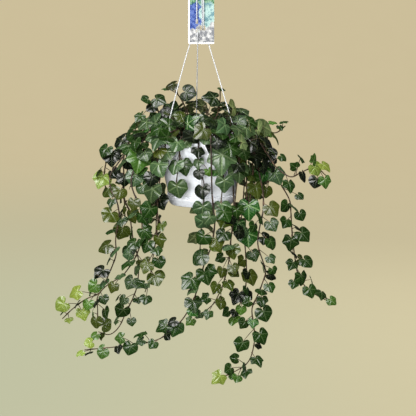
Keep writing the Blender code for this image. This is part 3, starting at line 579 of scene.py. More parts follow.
def laid_leaves(name, route, chance):
    """The leaves of a vine that was laid out one by one, in leaf_wishes's terms."""
    for x, z, width in VINES[name][1]:
        spot = placed(x, 0, z)
        near = min(
            range(1, len(route)),
            key=lambda index: math.hypot(route[index].x - spot.x, route[index].z - spot.z),
        )
        start = route[max(1, near - 1)].lerp(route[near], chance.uniform(0.3, 0.7))
        middle = Vector((spot.x, route[near].y - chance.uniform(6, 14) * MM, spot.z))
        outward = Vector((middle.x, middle.y, 0)).normalized()
        growth = CROWN_GROWTH if name.startswith("crown") else TRAIL_GROWTH
        lift = min(1.3, max(0, (spot.z / MM - LIFT_Z) / 80)) + chance.uniform(0.25, 0.8)
        yield middle, width * growth * MM, FRONT + outward * 0.4 + UP * lift, start


def ruled_leaves(route, first, last, count, largest, lift, chance):
    """Leaves on alternate sides of a stem between two of its points, smaller towards its tip."""
    for number in range(count):
        share = (number + 0.6) / count
        at = first + share * (last - first)
        index = min(int(at), last - 1)
        start = route[index].lerp(route[index + 1], min(0.7, max(0.3, at - index)))
        outward = Vector((start.x, start.y, 0)).normalized()
        sideways = UP.cross(outward) * (1 if number % 2 else -1)
        width = largest * (1 - 0.4 * share) * MM
        middle = start + sideways * width * chance.uniform(0.4, 0.75) + outward * 9 * MM
        middle += UP * chance.uniform(-6, 3) * MM
        yield middle, width, outward + UP * lift, start


def leaf_wishes(name, route, chance):
    """For each leaf of a vine: the middle of its blade, its width, its facing and where it grows from."""
    if name in VINES:
        yield from laid_leaves(name, route, chance)
        if name in FILLERS:
            count, end = FILLERS[name]
            last = max(index for index, point in enumerate(route) if point.z > placed(0, 0, end).z)
            yield from ruled_leaves(route, 2, last, count, FILLER_WIDTH, 0.7, chance)
    else:
        _, reach, _, count, largest = RULED_VINES[name]
        over_rim = reach > LAID_RIM_RADIUS
        first, lift = (3, 0.5) if over_rim else (2, 1.6)
        yield from ruled_leaves(route, first, len(route) - 1, count, largest, lift, chance)


def shaken(chance, amount):
    return Vector(chance.uniform(-amount, amount) for _ in range(3))


def grown_leaves(crowd, name, wishes, chance):
    """The wished leaves, each moved and turned a little until it is clear of the crowd, or left out."""
    leaves = []
    for middle, width, facing, start in wishes:
        ahead = facing.normalized()
        for attempt in range(TRIES):
            spread = chance.uniform(0.15, 0.5) + 0.02 * attempt
            offset = (attempt + 1) // 2 * (1.5 if attempt % 2 else -1) * MM
            leaf = (
                middle + ahead * offset + shaken(chance, 0.3 * attempt * MM),
                width * (1 - 0.006 * attempt),
                ahead + shaken(chance, spread),
                start,
            )
            verts, blade, stalk = leaf_solid(*leaf, LEAF_THICKNESS * MM)
            if stalk_folds(*leaf) or crosses_itself(verts, blade + stalk):
                continue
            verts, blade, stalk = leaf_solid(*leaf, (LEAF_THICKNESS + 2 * CLEARANCE) * MM)
            if not crowd.touches((verts, blade)) and not crowd.touches((verts, stalk), ignoring=name):
                crowd.add((verts, blade))
                crowd.add((verts, stalk), owner=name)
                leaves.append(leaf)
                break
    return leaves


def layout(crowd):
    """For each vine, its stem's route and its leaves, all clear of each other and of the made parts."""
    for outline in (POT_OUTLINE[5:-1], SAUCER_OUTLINE[6:]):
        crowd.add(lathe([(radius + 1, z) for radius, z in outline], LATHE_SIDES))
    crowd.add(lathe([(radius, z - CLEARANCE - 0.1) for radius, z in SOIL_TOP], LATHE_SIDES))
    for name in STRAND_STARTS:
        route = strand_route(name)
        crowd.add(tube(route, [(STRAND_RADIUS + 1) * MM] * len(route), 5))
    stems = {}
    for number, (name, points) in enumerate(routes_of_vines().items()):
        stems[name] = grown_stem(crowd, name, points, random.Random(number))
        crowd.add(tube(stems[name], stem_radii(len(stems[name])), 4), owner=name)
    vines = {}
    for number, (name, route) in enumerate(stems.items()):
        chance = random.Random(1000 + number)
        vines[name] = route, grown_leaves(crowd, name, leaf_wishes(name, route, chance), chance)
    return vines


def block(centre, size):
    """Vertices and faces of an upright box."""
    verts = [
        Vector(centre[axis] + sign[axis] * size[axis] / 2 for axis in range(3)) * MM
        for sign in [(x, y, z) for z in (-1, 1) for x, y in ((-1, -1), (1, -1), (1, 1), (-1, 1))]
    ]
    faces = [(3, 2, 1, 0), (4, 5, 6, 7), *[(a, (a + 1) % 4, (a + 1) % 4 + 4, a + 4) for a in range(4)]]
    return verts, faces


def upright_bars(spots, radius, low, high, sides):
    """Vertices and faces of straight upright bars at the spots, to cut holes with."""
    bars = []
    for spot in spots:
        ends = [Vector((spot.x, spot.y, height * MM)) for height in (low, high)]
        bars.append(tube(ends, [radius * MM] * 2, sides))
    return joined(*bars)


# ------------------------------------------------------------------------ vines

# Half of a leaf's edge, from beside its notch round to its tip: degrees off the way to the tip, then
# how far from the notch as a share of the width. Every leaf is a blend of the two.
ROUND_EDGE = [
    (166, 0.18), (146, 0.36), (124, 0.47), (104, 0.52), (86, 0.55), (66, 0.56), (50, 0.56), (36, 0.56),
    (23, 0.58), (11, 0.62), (0, 0.65),
]
LOBED_EDGE = [
    (170, 0.12), (148, 0.32), (124, 0.46), (104, 0.42), (86, 0.45), (66, 0.57), (50, 0.49), (36, 0.46),
    (23, 0.53), (11, 0.65), (0, 0.77),
]
VEINS = (-124, -66, 0, 66, 124)  # the way each main vein runs, in the same degrees
EDGE_STEP = 0.075  # between the points of the edge, as a share of the width
RINGS = (0.14, 0.3, 0.48, 0.66, 0.83, 1.0)  # how far out each ring of a blade is
BLADE_THICKNESS = 0.35
BLADE_GROWTH = 1.08  # the blade's real edge bulges past the CAD leaf's straight sides
DOME, RELIEF = 0.3, 0.42  # how round a blade is, and how far it swells between its veins
ROLL, PITCH = 0.5, 0.3  # how far a blade may turn about its own length and its stalk's end, in radians
INNER_PAINTED_SHADE = 0.3  # painted shade: how dark the leaves in the middle of the plant are coloured against the outer ones
INNER_REACH, OUTER_REACH = 50, 112  # how far out the painted shade is at its darkest, and how far out the full colour starts
PETIOLE_RADII = (0.75, 0.5)  # at the stem and at the blade
PETIOLE_STEPS, PETIOLE_SIDES = 9, 6
BARK_STEP, BARK_SIDES = 5, 8  # between the rings of a stem, and round each ring
BARK_EXTRA = 0.15  # how much thicker a stem is than in the CAD
KNOT_REACH, KNOT_SIZE = 3, 0.45  # along the stem each way, and outwards, where a leaf grows
ROOT_FLARE = 1.3  # of a stem's first ring

# Leaves that only the visual model has: how far apart on hanging stems, how wide, and the height that
# they start below.
SMALL_LEAF_SPACING, SMALL_LEAF_WIDTH, SMALL_LEAF_TOP = 36, 26, -420
INNER_COUNT = 6  # on each vine over the soil

# Colours of leaves as sRGB, each with how much its pale veins show.
TONES = {
    "m": ((20, 44, 6), 0.3),
    # The tone g is partly the leaf's own grey-green and partly a painted sheen: it is lighter and greyer
    # for leaves that gloss makes look grey.
    "g": ((46, 66, 38), 0.45),
    "o": ((50, 60, 12), 0.2),
    "d": ((5, 12, 3), 0.15),
    "v": ((22, 62, 14), 0.9),
    "y": ((104, 120, 46), 0.4),
    "z": ((50, 80, 22), 0.4),
}
# The tone of each leaf that was laid out one by one, in the order of VINES.
LEAF_TONES = {
    "crown_left_a": "ddyod",
    "crown_left_b": "dgddo",
    "crown_left_c": "gmzgm",
    "crown_front_a": "mggdgd",
    "crown_front_b": "ovgmgg",
    "crown_front_c": "gdgzddg",
    "crown_front_d": "mmgggg",
    "crown_front_e": "mmgmmo",
    "crown_right_a": "ggmdov",
    "crown_right_b": "modvgo",
    "top_left": "mmmmd",
    "top_mid": "ommod",
    "top_right": "mmzdm",
    "upper_right": "mzmzm",
    "left_long": "momodzyzyyy",
    "left_inner": "ommmmommo",
    "left_loop": "oomoggmmmoz",
    "left_pot_side": "moommoomm",
    "front_long": "gmmommmmmmmmmmzzyy",
    "front_right": "momoooomomz",
    "right_inner": "vvmoodmzzm",
    "right_long": "ommmmmmmmmmmmmmmmyz",
    "far_right": "mmmmmmmmmmmmz",
    "right_shoot": "mmmmdzyydz",
}
OTHER_TONES = "mmmggggdddov"  # for the rest, drawn by chance
SMALL_LEAF_SEED, LOOKS_SEED, SOIL_SEED = 3000, 5000, 77
SAME_LEAF = 10  # how near in the front view a leaf is to the spot it was laid out at
BARK_OLD, BARK_YOUNG, PETIOLE_YOUNG = (38, 27, 23), (66, 54, 34), (92, 84, 48)


def linear(colour):
    """An sRGB colour of 0 to 255 as Blender's linear one."""
    shares = [channel / 255 for channel in colour]
    return tuple(c / 12.92 if c <= 0.04045 else ((c + 0.055) / 1.055) ** 2.4 for c in shares)


def blended(first, second, share):
    return tuple(a + (b - a) * share for a, b in zip(first, second))


class Growth:
    """A mesh in the making, with a colour and the veins' places at every vertex."""

    def __init__(self):
        self.verts, self.faces, self.looks, self.slots = [], [], [], []

    def add(self, verts, faces, looks, slot):
        """Looks are, for each vertex, its colour, then how far off a vein, how far along it, whether on the
        underside, and how much the veins show."""
        self.faces.extend(tuple(corner + len(self.verts) for corner in face) for face in faces)
        self.slots.extend([slot] * len(faces))
        self.verts.extend(verts)
        self.looks.extend(looks)


def leaf_edge(lobes, skew):
    """The edge of a leaf from one side of its notch round to the other, as shares of its width."""
    half = []
    for (degrees, near), (other_degrees, far) in zip(ROUND_EDGE, LOBED_EDGE):
        angle = math.radians(degrees + (other_degrees - degrees) * lobes)
        reach = near + (far - near) * lobes
        half.append(Vector((math.sin(angle), math.cos(angle), 0)) * reach)
    left = [Vector((-point.x * (1 + skew), point.y, 0)) for point in half]
    right = [Vector((point.x * (1 - skew), point.y, 0)) for point in reversed(half[:-1])]
    return smooth_route([*left, *right], EDGE_STEP)


def vein_place(x, y):
    """How far a point of a blade is off the nearest vein and how far along it, as shares of the width."""
    places = []
    for degrees in VEINS:
        angle = math.radians(degrees)
        along = x * math.sin(angle) + y * math.cos(angle)
        off = abs(x * math.cos(angle) - y * math.sin(angle)) if along > 0 else math.hypot(x, y)
        places.append((off, max(0, along)))
    return min(places)


def add_blade(growth, leaf, tone, chance):
    """The blade of one leaf: a lobed sheet, sunk along its veins, with a wavy edge and a curled tip."""
    middle, width, facing, start = leaf
    base, normal, tip_way = leaf_axes(middle, width, facing, start)
    tilt = Matrix.Rotation(chance.uniform(-ROLL, ROLL), 3, tip_way)
    tilt @= Matrix.Rotation(chance.uniform(-PITCH, PITCH), 3, tip_way.cross(normal))
    normal, tip_way = tilt @ normal, tilt @ tip_way
    side_way = tip_way.cross(normal)
    edge = leaf_edge(chance.triangular(0, 0.95, 0.05), chance.uniform(-0.06, 0.06))
    fold = chance.uniform(-0.12, 0.12)
    curl = chance.uniform(0.1, 0.5)
    wave, waves, turn = chance.uniform(0.008, 0.03), chance.choice((4, 5, 6)), chance.uniform(0, math.tau)
    colour, veined = TONES[tone]
    # Painted shade: leaves nearer the middle of the plant are coloured darker, for the shade deep in the
    # crown; the tone also differs at random.
    outward = (math.hypot(middle.x, middle.y) / MM - INNER_REACH) / (OUTER_REACH - INNER_REACH)
    tone_and_painted_shade = chance.uniform(0.7, 1.25) * (INNER_PAINTED_SHADE + (1 - INNER_PAINTED_SHADE) * min(1, max(0, outward)))
    warmth = chance.uniform(-0.08, 0.08)
    tint = [channel * tone_and_painted_shade * (1 + sway) for channel, sway in zip(linear(colour), (warmth, 0, -warmth))]
    shares = [Vector((0, 0, 0))]
    for share in RINGS:
        shares.extend(point * share for point in edge)
    sheets, looks = ([], []), []
    for place, point in enumerate(shares):
        x, y = point.x, point.y
        ring = 0 if place == 0 else RINGS[(place - 1) // len(edge)]
        off, along = vein_place(x, y)
        lift = fold * math.hypot(x, 0.05) - DOME * (x**2 + 0.7 * (y - BLADE_MIDDLE[1]) ** 2)
        lift += RELIEF * min(off, 0.11) * (1 - 0.5 * ring)
        lift += wave * math.sin(waves * math.atan2(x, y) + turn) * ring**3
        lift -= curl * max(0, y - 0.3) ** 2
        spot = base + (side_way * x + tip_way * y + normal * lift) * width * BLADE_GROWTH
        for sheet, level in zip(sheets, (0.5, -0.5)):
            sheet.append(spot + normal * level * BLADE_THICKNESS * MM)
        looks.append((off, along))
    count, rings = len(edge), len(RINGS)
    faces = [(0, 1 + side, 2 + side) for side in range(count - 1)]
    for ring in range(rings - 1):
        for side in range(count - 1):
            a = 1 + ring * count + side
            faces.append((a, a + count, a + count + 1, a + 1))
    under = [tuple(corner + len(shares) for corner in reversed(face)) for face in faces]
    first = [1 + ring * count for ring in range(rings)]
    last = [ring * count for ring in range(rings, 0, -1)]
    rim = [0, *first, *range(first[-1] + 1, last[0]), *last]
    wall = [(a, b, b + len(shares), a + len(shares)) for a, b in zip(rim, [*rim[1:], 0])]
    growth.add(
        [*sheets[0], *sheets[1]],
        [*faces, *under, *wall],
        [(tint, off, along, side, veined) for side in (0, 1) for off, along in looks],
        0,
    )


def add_petiole(growth, leaf, chance):
    """A leaf's stalk, which leaves the stem in an arc and runs on under the blade."""
    middle, width, facing, start = leaf
    base, normal, tip_way = leaf_axes(middle, width, facing, start)
    span = (base - start).length
    end = base + tip_way * 0.06 * width - normal * 0.35 * MM
    bend = base - (tip_way * 0.3 + normal * 0.22) * span * 0.5
    thick, thin = PETIOLE_RADII
    points, radii = [], []
    for step in range(PETIOLE_STEPS + 1):
        t = step / PETIOLE_STEPS
        points.append(start * (1 - t) ** 2 + bend * 2 * t * (1 - t) + end * t**2)
        radii.append((thick + (thin - thick) * step / PETIOLE_STEPS) * MM)
    verts, faces = tube(points, radii, PETIOLE_SIDES)
    old, young = linear(BARK_OLD), linear(PETIOLE_YOUNG)
    share = chance.uniform(0.3, 0.9)
    looks = [
        (blended(old, young, share * index / len(verts)), 1, 0, 0, 0) for index in range(len(verts))
    ]
    growth.add(verts, faces, looks, 1)


def bell(offset, reach):
    """1 at no offset, and falling away softly over the reach."""
    return math.exp(-((offset.length / (reach * MM)) ** 2))


def add_stem(growth, route, leaves):
    """The stem along its route, thin at the tip, with a knot where each leaf grows."""
    fine = smooth_route(route, BARK_STEP * MM)
    thick, thin = STEM_RADII
    radii = []
    for index, point in enumerate(fine):
        share = index / (len(fine) - 1)
        knot = max((bell(point - leaf[3], KNOT_REACH) for leaf in leaves), default=0)
        radii.append((thick + (thin - thick) * share + BARK_EXTRA + KNOT_SIZE * knot) * MM)
    radii[0] *= ROOT_FLARE
    verts, faces = tube(fine, radii, BARK_SIDES)
    looks = []
    for index in range(len(verts)):
        share = (index // BARK_SIDES) / (len(fine) - 1)
        looks.append((blended(linear(BARK_OLD), linear(BARK_YOUNG), share**2), 1, share, 0, 0))
    growth.add(verts, faces, looks, 1)


def small_leaves(crowd, vines):
    """More, smaller leaves over the soil and along the hanging part of each vine, clear of everything."""
    for number, (name, (route, leaves)) in enumerate(vines.items()):
        chance = random.Random(SMALL_LEAF_SEED + number)
        wishes = []
        hanging = [index for index, point in enumerate(route) if point.z < SMALL_LEAF_TOP * MM]
        if name.startswith("inner"):
            wishes = ruled_leaves(route, 0, len(route) - 1, INNER_COUNT, SMALL_LEAF_WIDTH, 1.6, chance)
        elif len(hanging) > 2:
            first, last = hanging[0], hanging[-1]
            span = sum((end - start).length for start, end in zip(route[first:], route[first + 1:]))
            count = round(span / (SMALL_LEAF_SPACING * MM))
            wishes = ruled_leaves(route, first, last, count, SMALL_LEAF_WIDTH, 0.7, chance)
        leaves.extend(grown_leaves(crowd, name, wishes, chance))


def tone_of(name, leaf, chance):
    """The tone tabled for the laid-out leaf that this one is, or else one drawn by chance."""
    drawn = chance.choice(OTHER_TONES)
    for (x, z, _), tone in zip(VINES[name][1] if name in VINES else [], LEAF_TONES.get(name, "")):
        off = leaf[0] - placed(x, 0, z)
        if math.hypot(off.x, off.z) < SAME_LEAF * MM:
            return tone
    return drawn


def vine_piece(name, route, leaves, number):
    """One vine as one piece: its stem, its stalks and its leaves."""
    chance = random.Random(LOOKS_SEED + number)
    growth = Growth()
    add_stem(growth, route, leaves)
    for leaf in leaves:
        add_petiole(growth, leaf, chance)
        add_blade(growth, leaf, tone_of(name, leaf, chance), chance)
    piece = mesh_piece(f"ivy_{name}", growth.verts, growth.faces, [leaf_look, bark_look])
    mesh = piece.data
    mesh.polygons.foreach_set("material_index", growth.slots)
    tint = mesh.color_attributes.new("tint", "FLOAT_COLOR", "POINT")
    tint.data.foreach_set("color", [part for look in growth.looks for part in (*look[0], 1)])
    for place, label in enumerate(("vein", "along", "under", "veined"), start=1):
        layer = mesh.attributes.new(label, "FLOAT", "POINT")
        layer.data.foreach_set("value", [look[place] for look in growth.looks])
    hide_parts(f"vine_{name}")


# -------------------------------------------------------------------- materials


class Look:
    """A material whose node tree is built up around its Principled shader."""

    def __init__(self, name):
        self.material = bpy.data.materials.new(name)
        self.material.use_nodes = True
        self.tree = self.material.node_tree
        self.shader = self.tree.nodes["Principled BSDF"]
        place = self.node("TexCoord")
        self.place = place.outputs["Object"]

    def node(self, kind, settings=None, **inputs):
        made = self.tree.nodes.new(f"ShaderNode{kind}")
        for key, value in (settings or {}).items():
            setattr(made, key, value)
        for key, value in inputs.items():
            self.put(made.inputs[key.replace("_", " ")], value)
        return made

    def put(self, socket, value):
        """Links the value to the socket if it comes from a node, and else sets it."""
        if isinstance(value, bpy.types.NodeSocket):
            self.tree.links.new(value, socket)
        else:
            socket.default_value = value

    def set(self, **values):
        for key, value in values.items():
            self.put(self.shader.inputs[key.replace("_", " ")], value)

    def math(self, operation, *values):
        made = self.node("Math", {"operation": operation})
        for socket, value in zip(made.inputs, values):
            self.put(socket, value)
        return made.outputs[0]

    def stretch(self, value, low, high, start=0.0, end=1.0):
        """The value carried from low..high to start..end, and held there."""
        made = self.node("MapRange", {"interpolation_type": "SMOOTHSTEP"})
        amounts = {"Value": value, "From Min": low, "From Max": high, "To Min": start, "To Max": end}
        for key, amount in amounts.items():
            self.put(made.inputs[key], amount)
        return made.outputs[0]

    def noise(self, scale, detail=3.0, roughness=0.55, place=None):
        made = self.node("TexNoise", Scale=scale, Detail=detail, Roughness=roughness)
        self.put(made.inputs["Vector"], place or self.place)
        return made.outputs["Fac"]

    def mix(self, share, first, second, blend="MIX"):
        made = self.node("MixRGB", {"blend_type": blend})
        for socket, value in zip(made.inputs, (share, first, second)):
            self.put(socket, (*value, 1) if isinstance(value, tuple) and len(value) == 3 else value)
        return made.outputs[0]

    def times(self, colour, shares):
        return self.mix(1, colour, shares, "MULTIPLY")

    def attribute(self, name, output="Fac"):
        return self.node("Attribute", {"attribute_name": name}).outputs[output]

    def bump(self, height, depth):
        """Bump of the given depth in metres."""
        made = self.node("Bump", Height=height, Distance=depth)
        self.put(self.shader.inputs["Normal"], made.outputs["Normal"])


def leaf_material():
    look = Look("ivy_leaf")
    tint = look.attribute("tint", "Color")
    vein = look.attribute("vein")
    along = look.attribute("along")
    under = look.attribute("under")
    veined = look.attribute("veined")
    patches = look.noise(90, 4)
    mottle = look.noise(420, 3)
    off_vein = look.math("ADD", vein, look.math("MULTIPLY", along, 0.012))
    main = look.stretch(off_vein, 0.012, 0.05, 1, 0)
    side_phase = look.math("SUBTRACT", look.math("MULTIPLY", along, 46), look.math("MULTIPLY", vein, 40))
    side = look.stretch(look.math("SINE", side_phase), 0.7, 1.0, 0, 0.35)
    veins = look.math("MAXIMUM", main, side)
    pale = look.mix(0.35, look.times(tint, (1.9, 1.8, 1.5)), linear((150, 168, 120)))
    dull, bright = look.times(tint, (0.62, 0.66, 0.6)), look.times(tint, (1.35, 1.25, 1.1))
    body = look.mix(look.stretch(patches, 0.3, 0.7, 0, 0.55), tint, dull)
    body = look.mix(look.stretch(mottle, 0.4, 0.75, 0, 0.15), body, bright)
    top = look.mix(look.math("MULTIPLY", veins, veined), body, pale)
    back = look.mix(0.4, look.times(tint, (1.3, 1.25, 1.2)), linear((104, 118, 70)))
    back = look.mix(look.math("MULTIPLY", veins, 0.5), back, linear((150, 160, 105)))
    rough = look.stretch(look.noise(160, 3), 0.25, 0.8, 0.22, 0.36)
    look.set(
        Base_Color=look.mix(under, top, back),
        Roughness=look.math("ADD", rough, look.math("MULTIPLY", under, 0.22)),
        Specular_IOR_Level=0.55,
    )
    grain = look.math("MULTIPLY", look.noise(300, 2), 0.3)
    look.bump(look.math("ADD", look.math("MULTIPLY", veins, -0.8), grain), 0.0003)
    return look.material


def bark_material():
    look = Look("ivy_bark")
    tint = look.attribute("tint", "Color")
    streaks = look.noise(500, 4)
    blotches = look.noise(120, 3)
    colour = look.mix(look.stretch(streaks, 0.35, 0.7, 0, 0.6), tint, look.times(tint, (0.45, 0.42, 0.42)))
    colour = look.mix(look.stretch(blotches, 0.5, 0.7, 0, 0.4), colour, linear((118, 92, 70)))
    look.set(Base_Color=colour, Roughness=look.stretch(streaks, 0.2, 0.8, 0.5, 0.8))
    look.bump(streaks, 0.0004)
    return look.material


def plastic_material(name, colour, roughness):
    """Moulded plastic: faint flow marks in its gloss, a fine orange-peel bump and a little dust."""
    look = Look(name)
    flow = look.noise(28, 4)
    dust = look.noise(240, 4)
    clean = linear(colour)
    dusty = tuple(channel * 0.9 for channel in clean)
    look.set(
        Base_Color=look.mix(look.stretch(dust, 0.45, 0.75), clean, dusty),
        Roughness=look.stretch(flow, 0.3, 0.7, roughness - 0.05, roughness + 0.1),
        Specular_IOR_Level=0.45,
    )
    look.bump(look.math("ADD", look.math("MULTIPLY", flow, 0.6), look.math("MULTIPLY", dust, 0.2)), 0.0003)
    return look.material


def soil_material():
    look = Look("potting_soil")
    lumps = look.noise(160, 6, 0.7)
    fibres = look.noise(520, 4, 0.7)
    colour = look.mix(look.stretch(lumps, 0.35, 0.7), linear((34, 24, 17)), linear((78, 58, 42)))
    colour = look.mix(look.stretch(fibres, 0.62, 0.72), colour, linear((120, 96, 70)))
    look.set(Base_Color=colour, Roughness=look.stretch(lumps, 0.3, 0.7, 0.8, 0.98), Specular_IOR_Level=0.2)
    look.bump(look.math("ADD", lumps, look.math("MULTIPLY", fibres, 0.5)), 0.0015)
    return look.material


def perlite_material():
    look = Look("perlite")
    grain = look.noise(800, 4)
    look.set(Base_Color=look.mix(grain, linear((196, 192, 182)), linear((236, 234, 228))), Roughness=0.85)
    look.bump(grain, 0.0004)
    return look.material


# Where one part of the card's print gives way to the next, to the right or upwards.
BLUE_TO_TEAL, TEAL_TO_GREEN, ROCK_TO_TEAL = (-6, -1), (-56, -48), (-101, -96)
SIDE_MARGIN, LOW_MARGIN = (2.9, 2.6), (2.7, 2.4)  # in from the card's edge, from print to white


def scaled(edges, start=0.0):
    return [start + edge * MM for edge in edges]


def card_material():
    """A white card with blurred bands for a print: blue and teal side by side, green above, grey below."""
    look = Look("printed_card")
    split = look.node("SeparateXYZ", Vector=look.place)
    x, z = split.outputs["X"], split.outputs["Z"]
    blots = look.noise(75, 4)
    flecks = look.noise(260, 4, 0.7)
    strokes = look.noise(150, 5, 0.65)
    sway = look.math("MULTIPLY", look.math("SUBTRACT", blots, 0.5), 0.05)
    blue = look.mix(look.stretch(flecks, 0.4, 0.62), linear((34, 54, 116)), linear((84, 104, 158)))
    teal = look.mix(look.stretch(strokes, 0.42, 0.58), linear((88, 122, 128)), linear((150, 176, 170)))
    green = look.mix(look.stretch(flecks, 0.4, 0.6), linear((44, 88, 62)), linear((116, 148, 112)))
    rock = look.mix(look.stretch(strokes, 0.38, 0.62), linear((104, 106, 110)), linear((182, 182, 180)))
    across = look.math("ADD", x, sway)
    print_colour = look.mix(look.stretch(across, *scaled(BLUE_TO_TEAL)), blue, teal)
    high = look.math("ADD", z, sway)
    print_colour = look.mix(look.stretch(high, *scaled(TEAL_TO_GREEN)), print_colour, green)
    slope = look.math("ADD", high, look.math("MULTIPLY", x, -0.28))
    print_colour = look.mix(look.stretch(slope, *scaled(ROCK_TO_TEAL)), rock, print_colour)
    left = (CARD_X - CARD_WIDTH / 2) * MM
    bottom = CARD_BOTTOM * MM
    edge = look.math(
        "MAXIMUM",
        look.stretch(x, *scaled(SIDE_MARGIN, left)),
        look.stretch(z, *scaled(LOW_MARGIN, bottom)),
    )
    look.set(Base_Color=look.mix(edge, print_colour, linear((236, 236, 234))), Roughness=0.32)
    look.bump(flecks, 0.00005)
    return look.material


def new_mesh(name, verts, faces):
    mesh = bpy.data.meshes.new(name)
    mesh.from_pydata([tuple(vert) for vert in verts], [], faces)
    return mesh


def closed_mesh(name, verts, faces):
    """A mesh whose faces are all turned outwards."""
    mesh = new_mesh(name, verts, faces)
    shell = bmesh.new()
    shell.from_mesh(mesh)
    bmesh.ops.recalc_face_normals(shell, faces=shell.faces)
    shell.to_mesh(mesh)
    shell.free()
    return mesh


def smooth(mesh, sharp_degrees):
    """Shades the mesh smooth, but for edges sharper than the angle."""
    mesh.shade_smooth()
    mesh.set_sharp_from_angle(angle=math.radians(sharp_degrees))


def in_scene(name, data):
    made = bpy.data.objects.new(name, data)
    bpy.context.scene.collection.objects.link(made)
    return made


def mesh_piece(name, verts, faces, materials, sharp_degrees=48):
    """A piece of the visual model, closed and smooth, riding on the part's one body."""
    mesh = closed_mesh(name, verts, faces)
    for material in materials:
        mesh.materials.append(material)
    smooth(mesh, sharp_degrees)
    piece = in_scene(name, mesh)
    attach(piece, "root")
    return piece


def cut(piece, verts, faces, sharp_degrees=48):
    """Takes the shape out of the piece for good."""
    cutter = in_scene("cutter", closed_mesh("cutter", verts, faces))
    boolean = piece.modifiers.new("cut", "BOOLEAN")
    boolean.operation = "DIFFERENCE"
    boolean.solver = "EXACT"
    boolean.object = cutter
    whole = piece.evaluated_get(bpy.context.evaluated_depsgraph_get())
    piece.data = bpy.data.meshes.new_from_object(whole)
    piece.modifiers.clear()
    bpy.data.objects.remove(cutter)
    smooth(piece.data, sharp_degrees)


def rounded(outline, radius):
    """The outline with each corner turned in a short curve."""
    soft = [outline[0]]
    for before, corner, after in zip(outline, outline[1:], outline[2:]):
        before, corner, after = Vector(before), Vector(corner), Vector(after)
        reach = min(radius, 0.42 * (before - corner).length, 0.42 * (after - corner).length)
        start = corner + (before - corner).normalized() * reach
        end = corner + (after - corner).normalized() * reach
        for t in (0, 0.33, 0.67, 1):
            soft.append(tuple(start * (1 - t) ** 2 + corner * 2 * t * (1 - t) + end * t**2))
    return [*soft, outline[-1]]


def ring_of_blocks(count, radius, z, size):
    """Blocks in a ring, each square to the way out."""
    blocks = []
    for number in range(count):
        turn = Matrix.Rotation(math.tau * number / count, 4, "Z")
        verts, faces = block((radius, 0, z), size)
        blocks.append(([turn @ vert for vert in verts], faces))
    return joined(*blocks)


TURNED_SIDES = 112  # round the pot and the saucer
SLOT_COUNT, SLOT_SIZE = 64, (8, 3.6, 2)  # in the saucer's lip


def pot_pieces():
    pot = mesh_piece("pot_shell", *lathe(rounded(POT_OUTLINE, 1.2), TURNED_SIDES), [pot_look], 30)
    holes = [polar(STRAND_HOLE_RING, angle, 0) for angle in STRAND_ANGLES.values()]
    cut(pot, *upright_bars(holes, STRAND_HOLE_RADIUS, RIM_Z - 7, RIM_Z + 5, 20), 30)
    drains = [polar(DRAIN_HOLE_RING, 360 * number / DRAIN_HOLES, 0) for number in range(DRAIN_HOLES)]
    cut(pot, *upright_bars(drains, DRAIN_HOLE_RADIUS, BASE_Z - 3, BASE_Z + 2 * FLOOR_THICKNESS, 24), 30)
    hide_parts("pot")
    turned = lathe(rounded(SAUCER_OUTLINE, 0.8), TURNED_SIDES)
    saucer = mesh_piece("saucer_shell", *turned, [pot_look], 30)
    cut(saucer, *ring_of_blocks(SLOT_COUNT, BASE_RADIUS + 8, BASE_Z + GROOVE_HIGH - 2.4, SLOT_SIZE), 30)
    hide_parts("saucer")


LUMP = [(0, -1), (0.8, -0.5), (1, 0.2), (0, 0.8)]  # a crumb's outline, as shares of its size
CRUMB_COUNT, CRUMB_SIZES = 170, (1.2, 3.2)
GRAIN_COUNT, GRAIN_SIZES = 26, (1.0, 1.9)
STREWN_REACH = 74  # how far out the crumbs and grains lie
UNEVEN_HEIGHT = 1.6  # how far noise of -1 to 1 moves the soil's top, which also sinks by half of this


def strewn_lumps(chance, count, sizes):
    """Small closed lumps, sunk a little into the top of the soil."""
    lumps = []
    for _ in range(count):
        size = chance.uniform(*sizes)
        middle = polar(STREWN_REACH * math.sqrt(chance.random()), chance.uniform(0, 360), 0)
        middle.z = soil_height(middle) + (0.2 * size - 0.8) * MM
        verts, faces = lathe([(radius * size, z * size) for radius, z in LUMP], 7)
        verts = [vert * (1 + 0.5 * noise.noise((vert + middle) * 300)) + middle for vert in verts]
        lumps.append((verts, faces))
    return joined(*lumps)


def soil_pieces():
    """Lumpy soil with loose crumbs and a few white grains on it."""
    chance = random.Random(SOIL_SEED)
    top = [(radius, soil_height(Vector((radius, 0, 0)) * MM) / MM) for radius in range(76, 1, -3)]
    verts, faces = lathe([*SOIL_OUTLINE[:4], *top, SOIL_OUTLINE[-1]], 90)
    for vert in verts:
        if vert.z > (RIM_Z - 21) * MM:
            vert.z += (noise.noise(vert * 110) - 0.5) * UNEVEN_HEIGHT * MM
    body = joined((verts, faces), strewn_lumps(chance, CRUMB_COUNT, CRUMB_SIZES))
    soil = mesh_piece("soil_body", *body, [soil_look], 60)
    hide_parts("soil")
    grains = strewn_lumps(chance, GRAIN_COUNT, GRAIN_SIZES)
    perlite = mesh_piece("perlite_grains", *grains, [perlite_look], 30)


HOOK_TIP = (0.35, 0.75, 0.93)  # shares of the rod's radius at the hook's last rings, from its end back
BEAD_REACH = 1.5  # along the strand each way


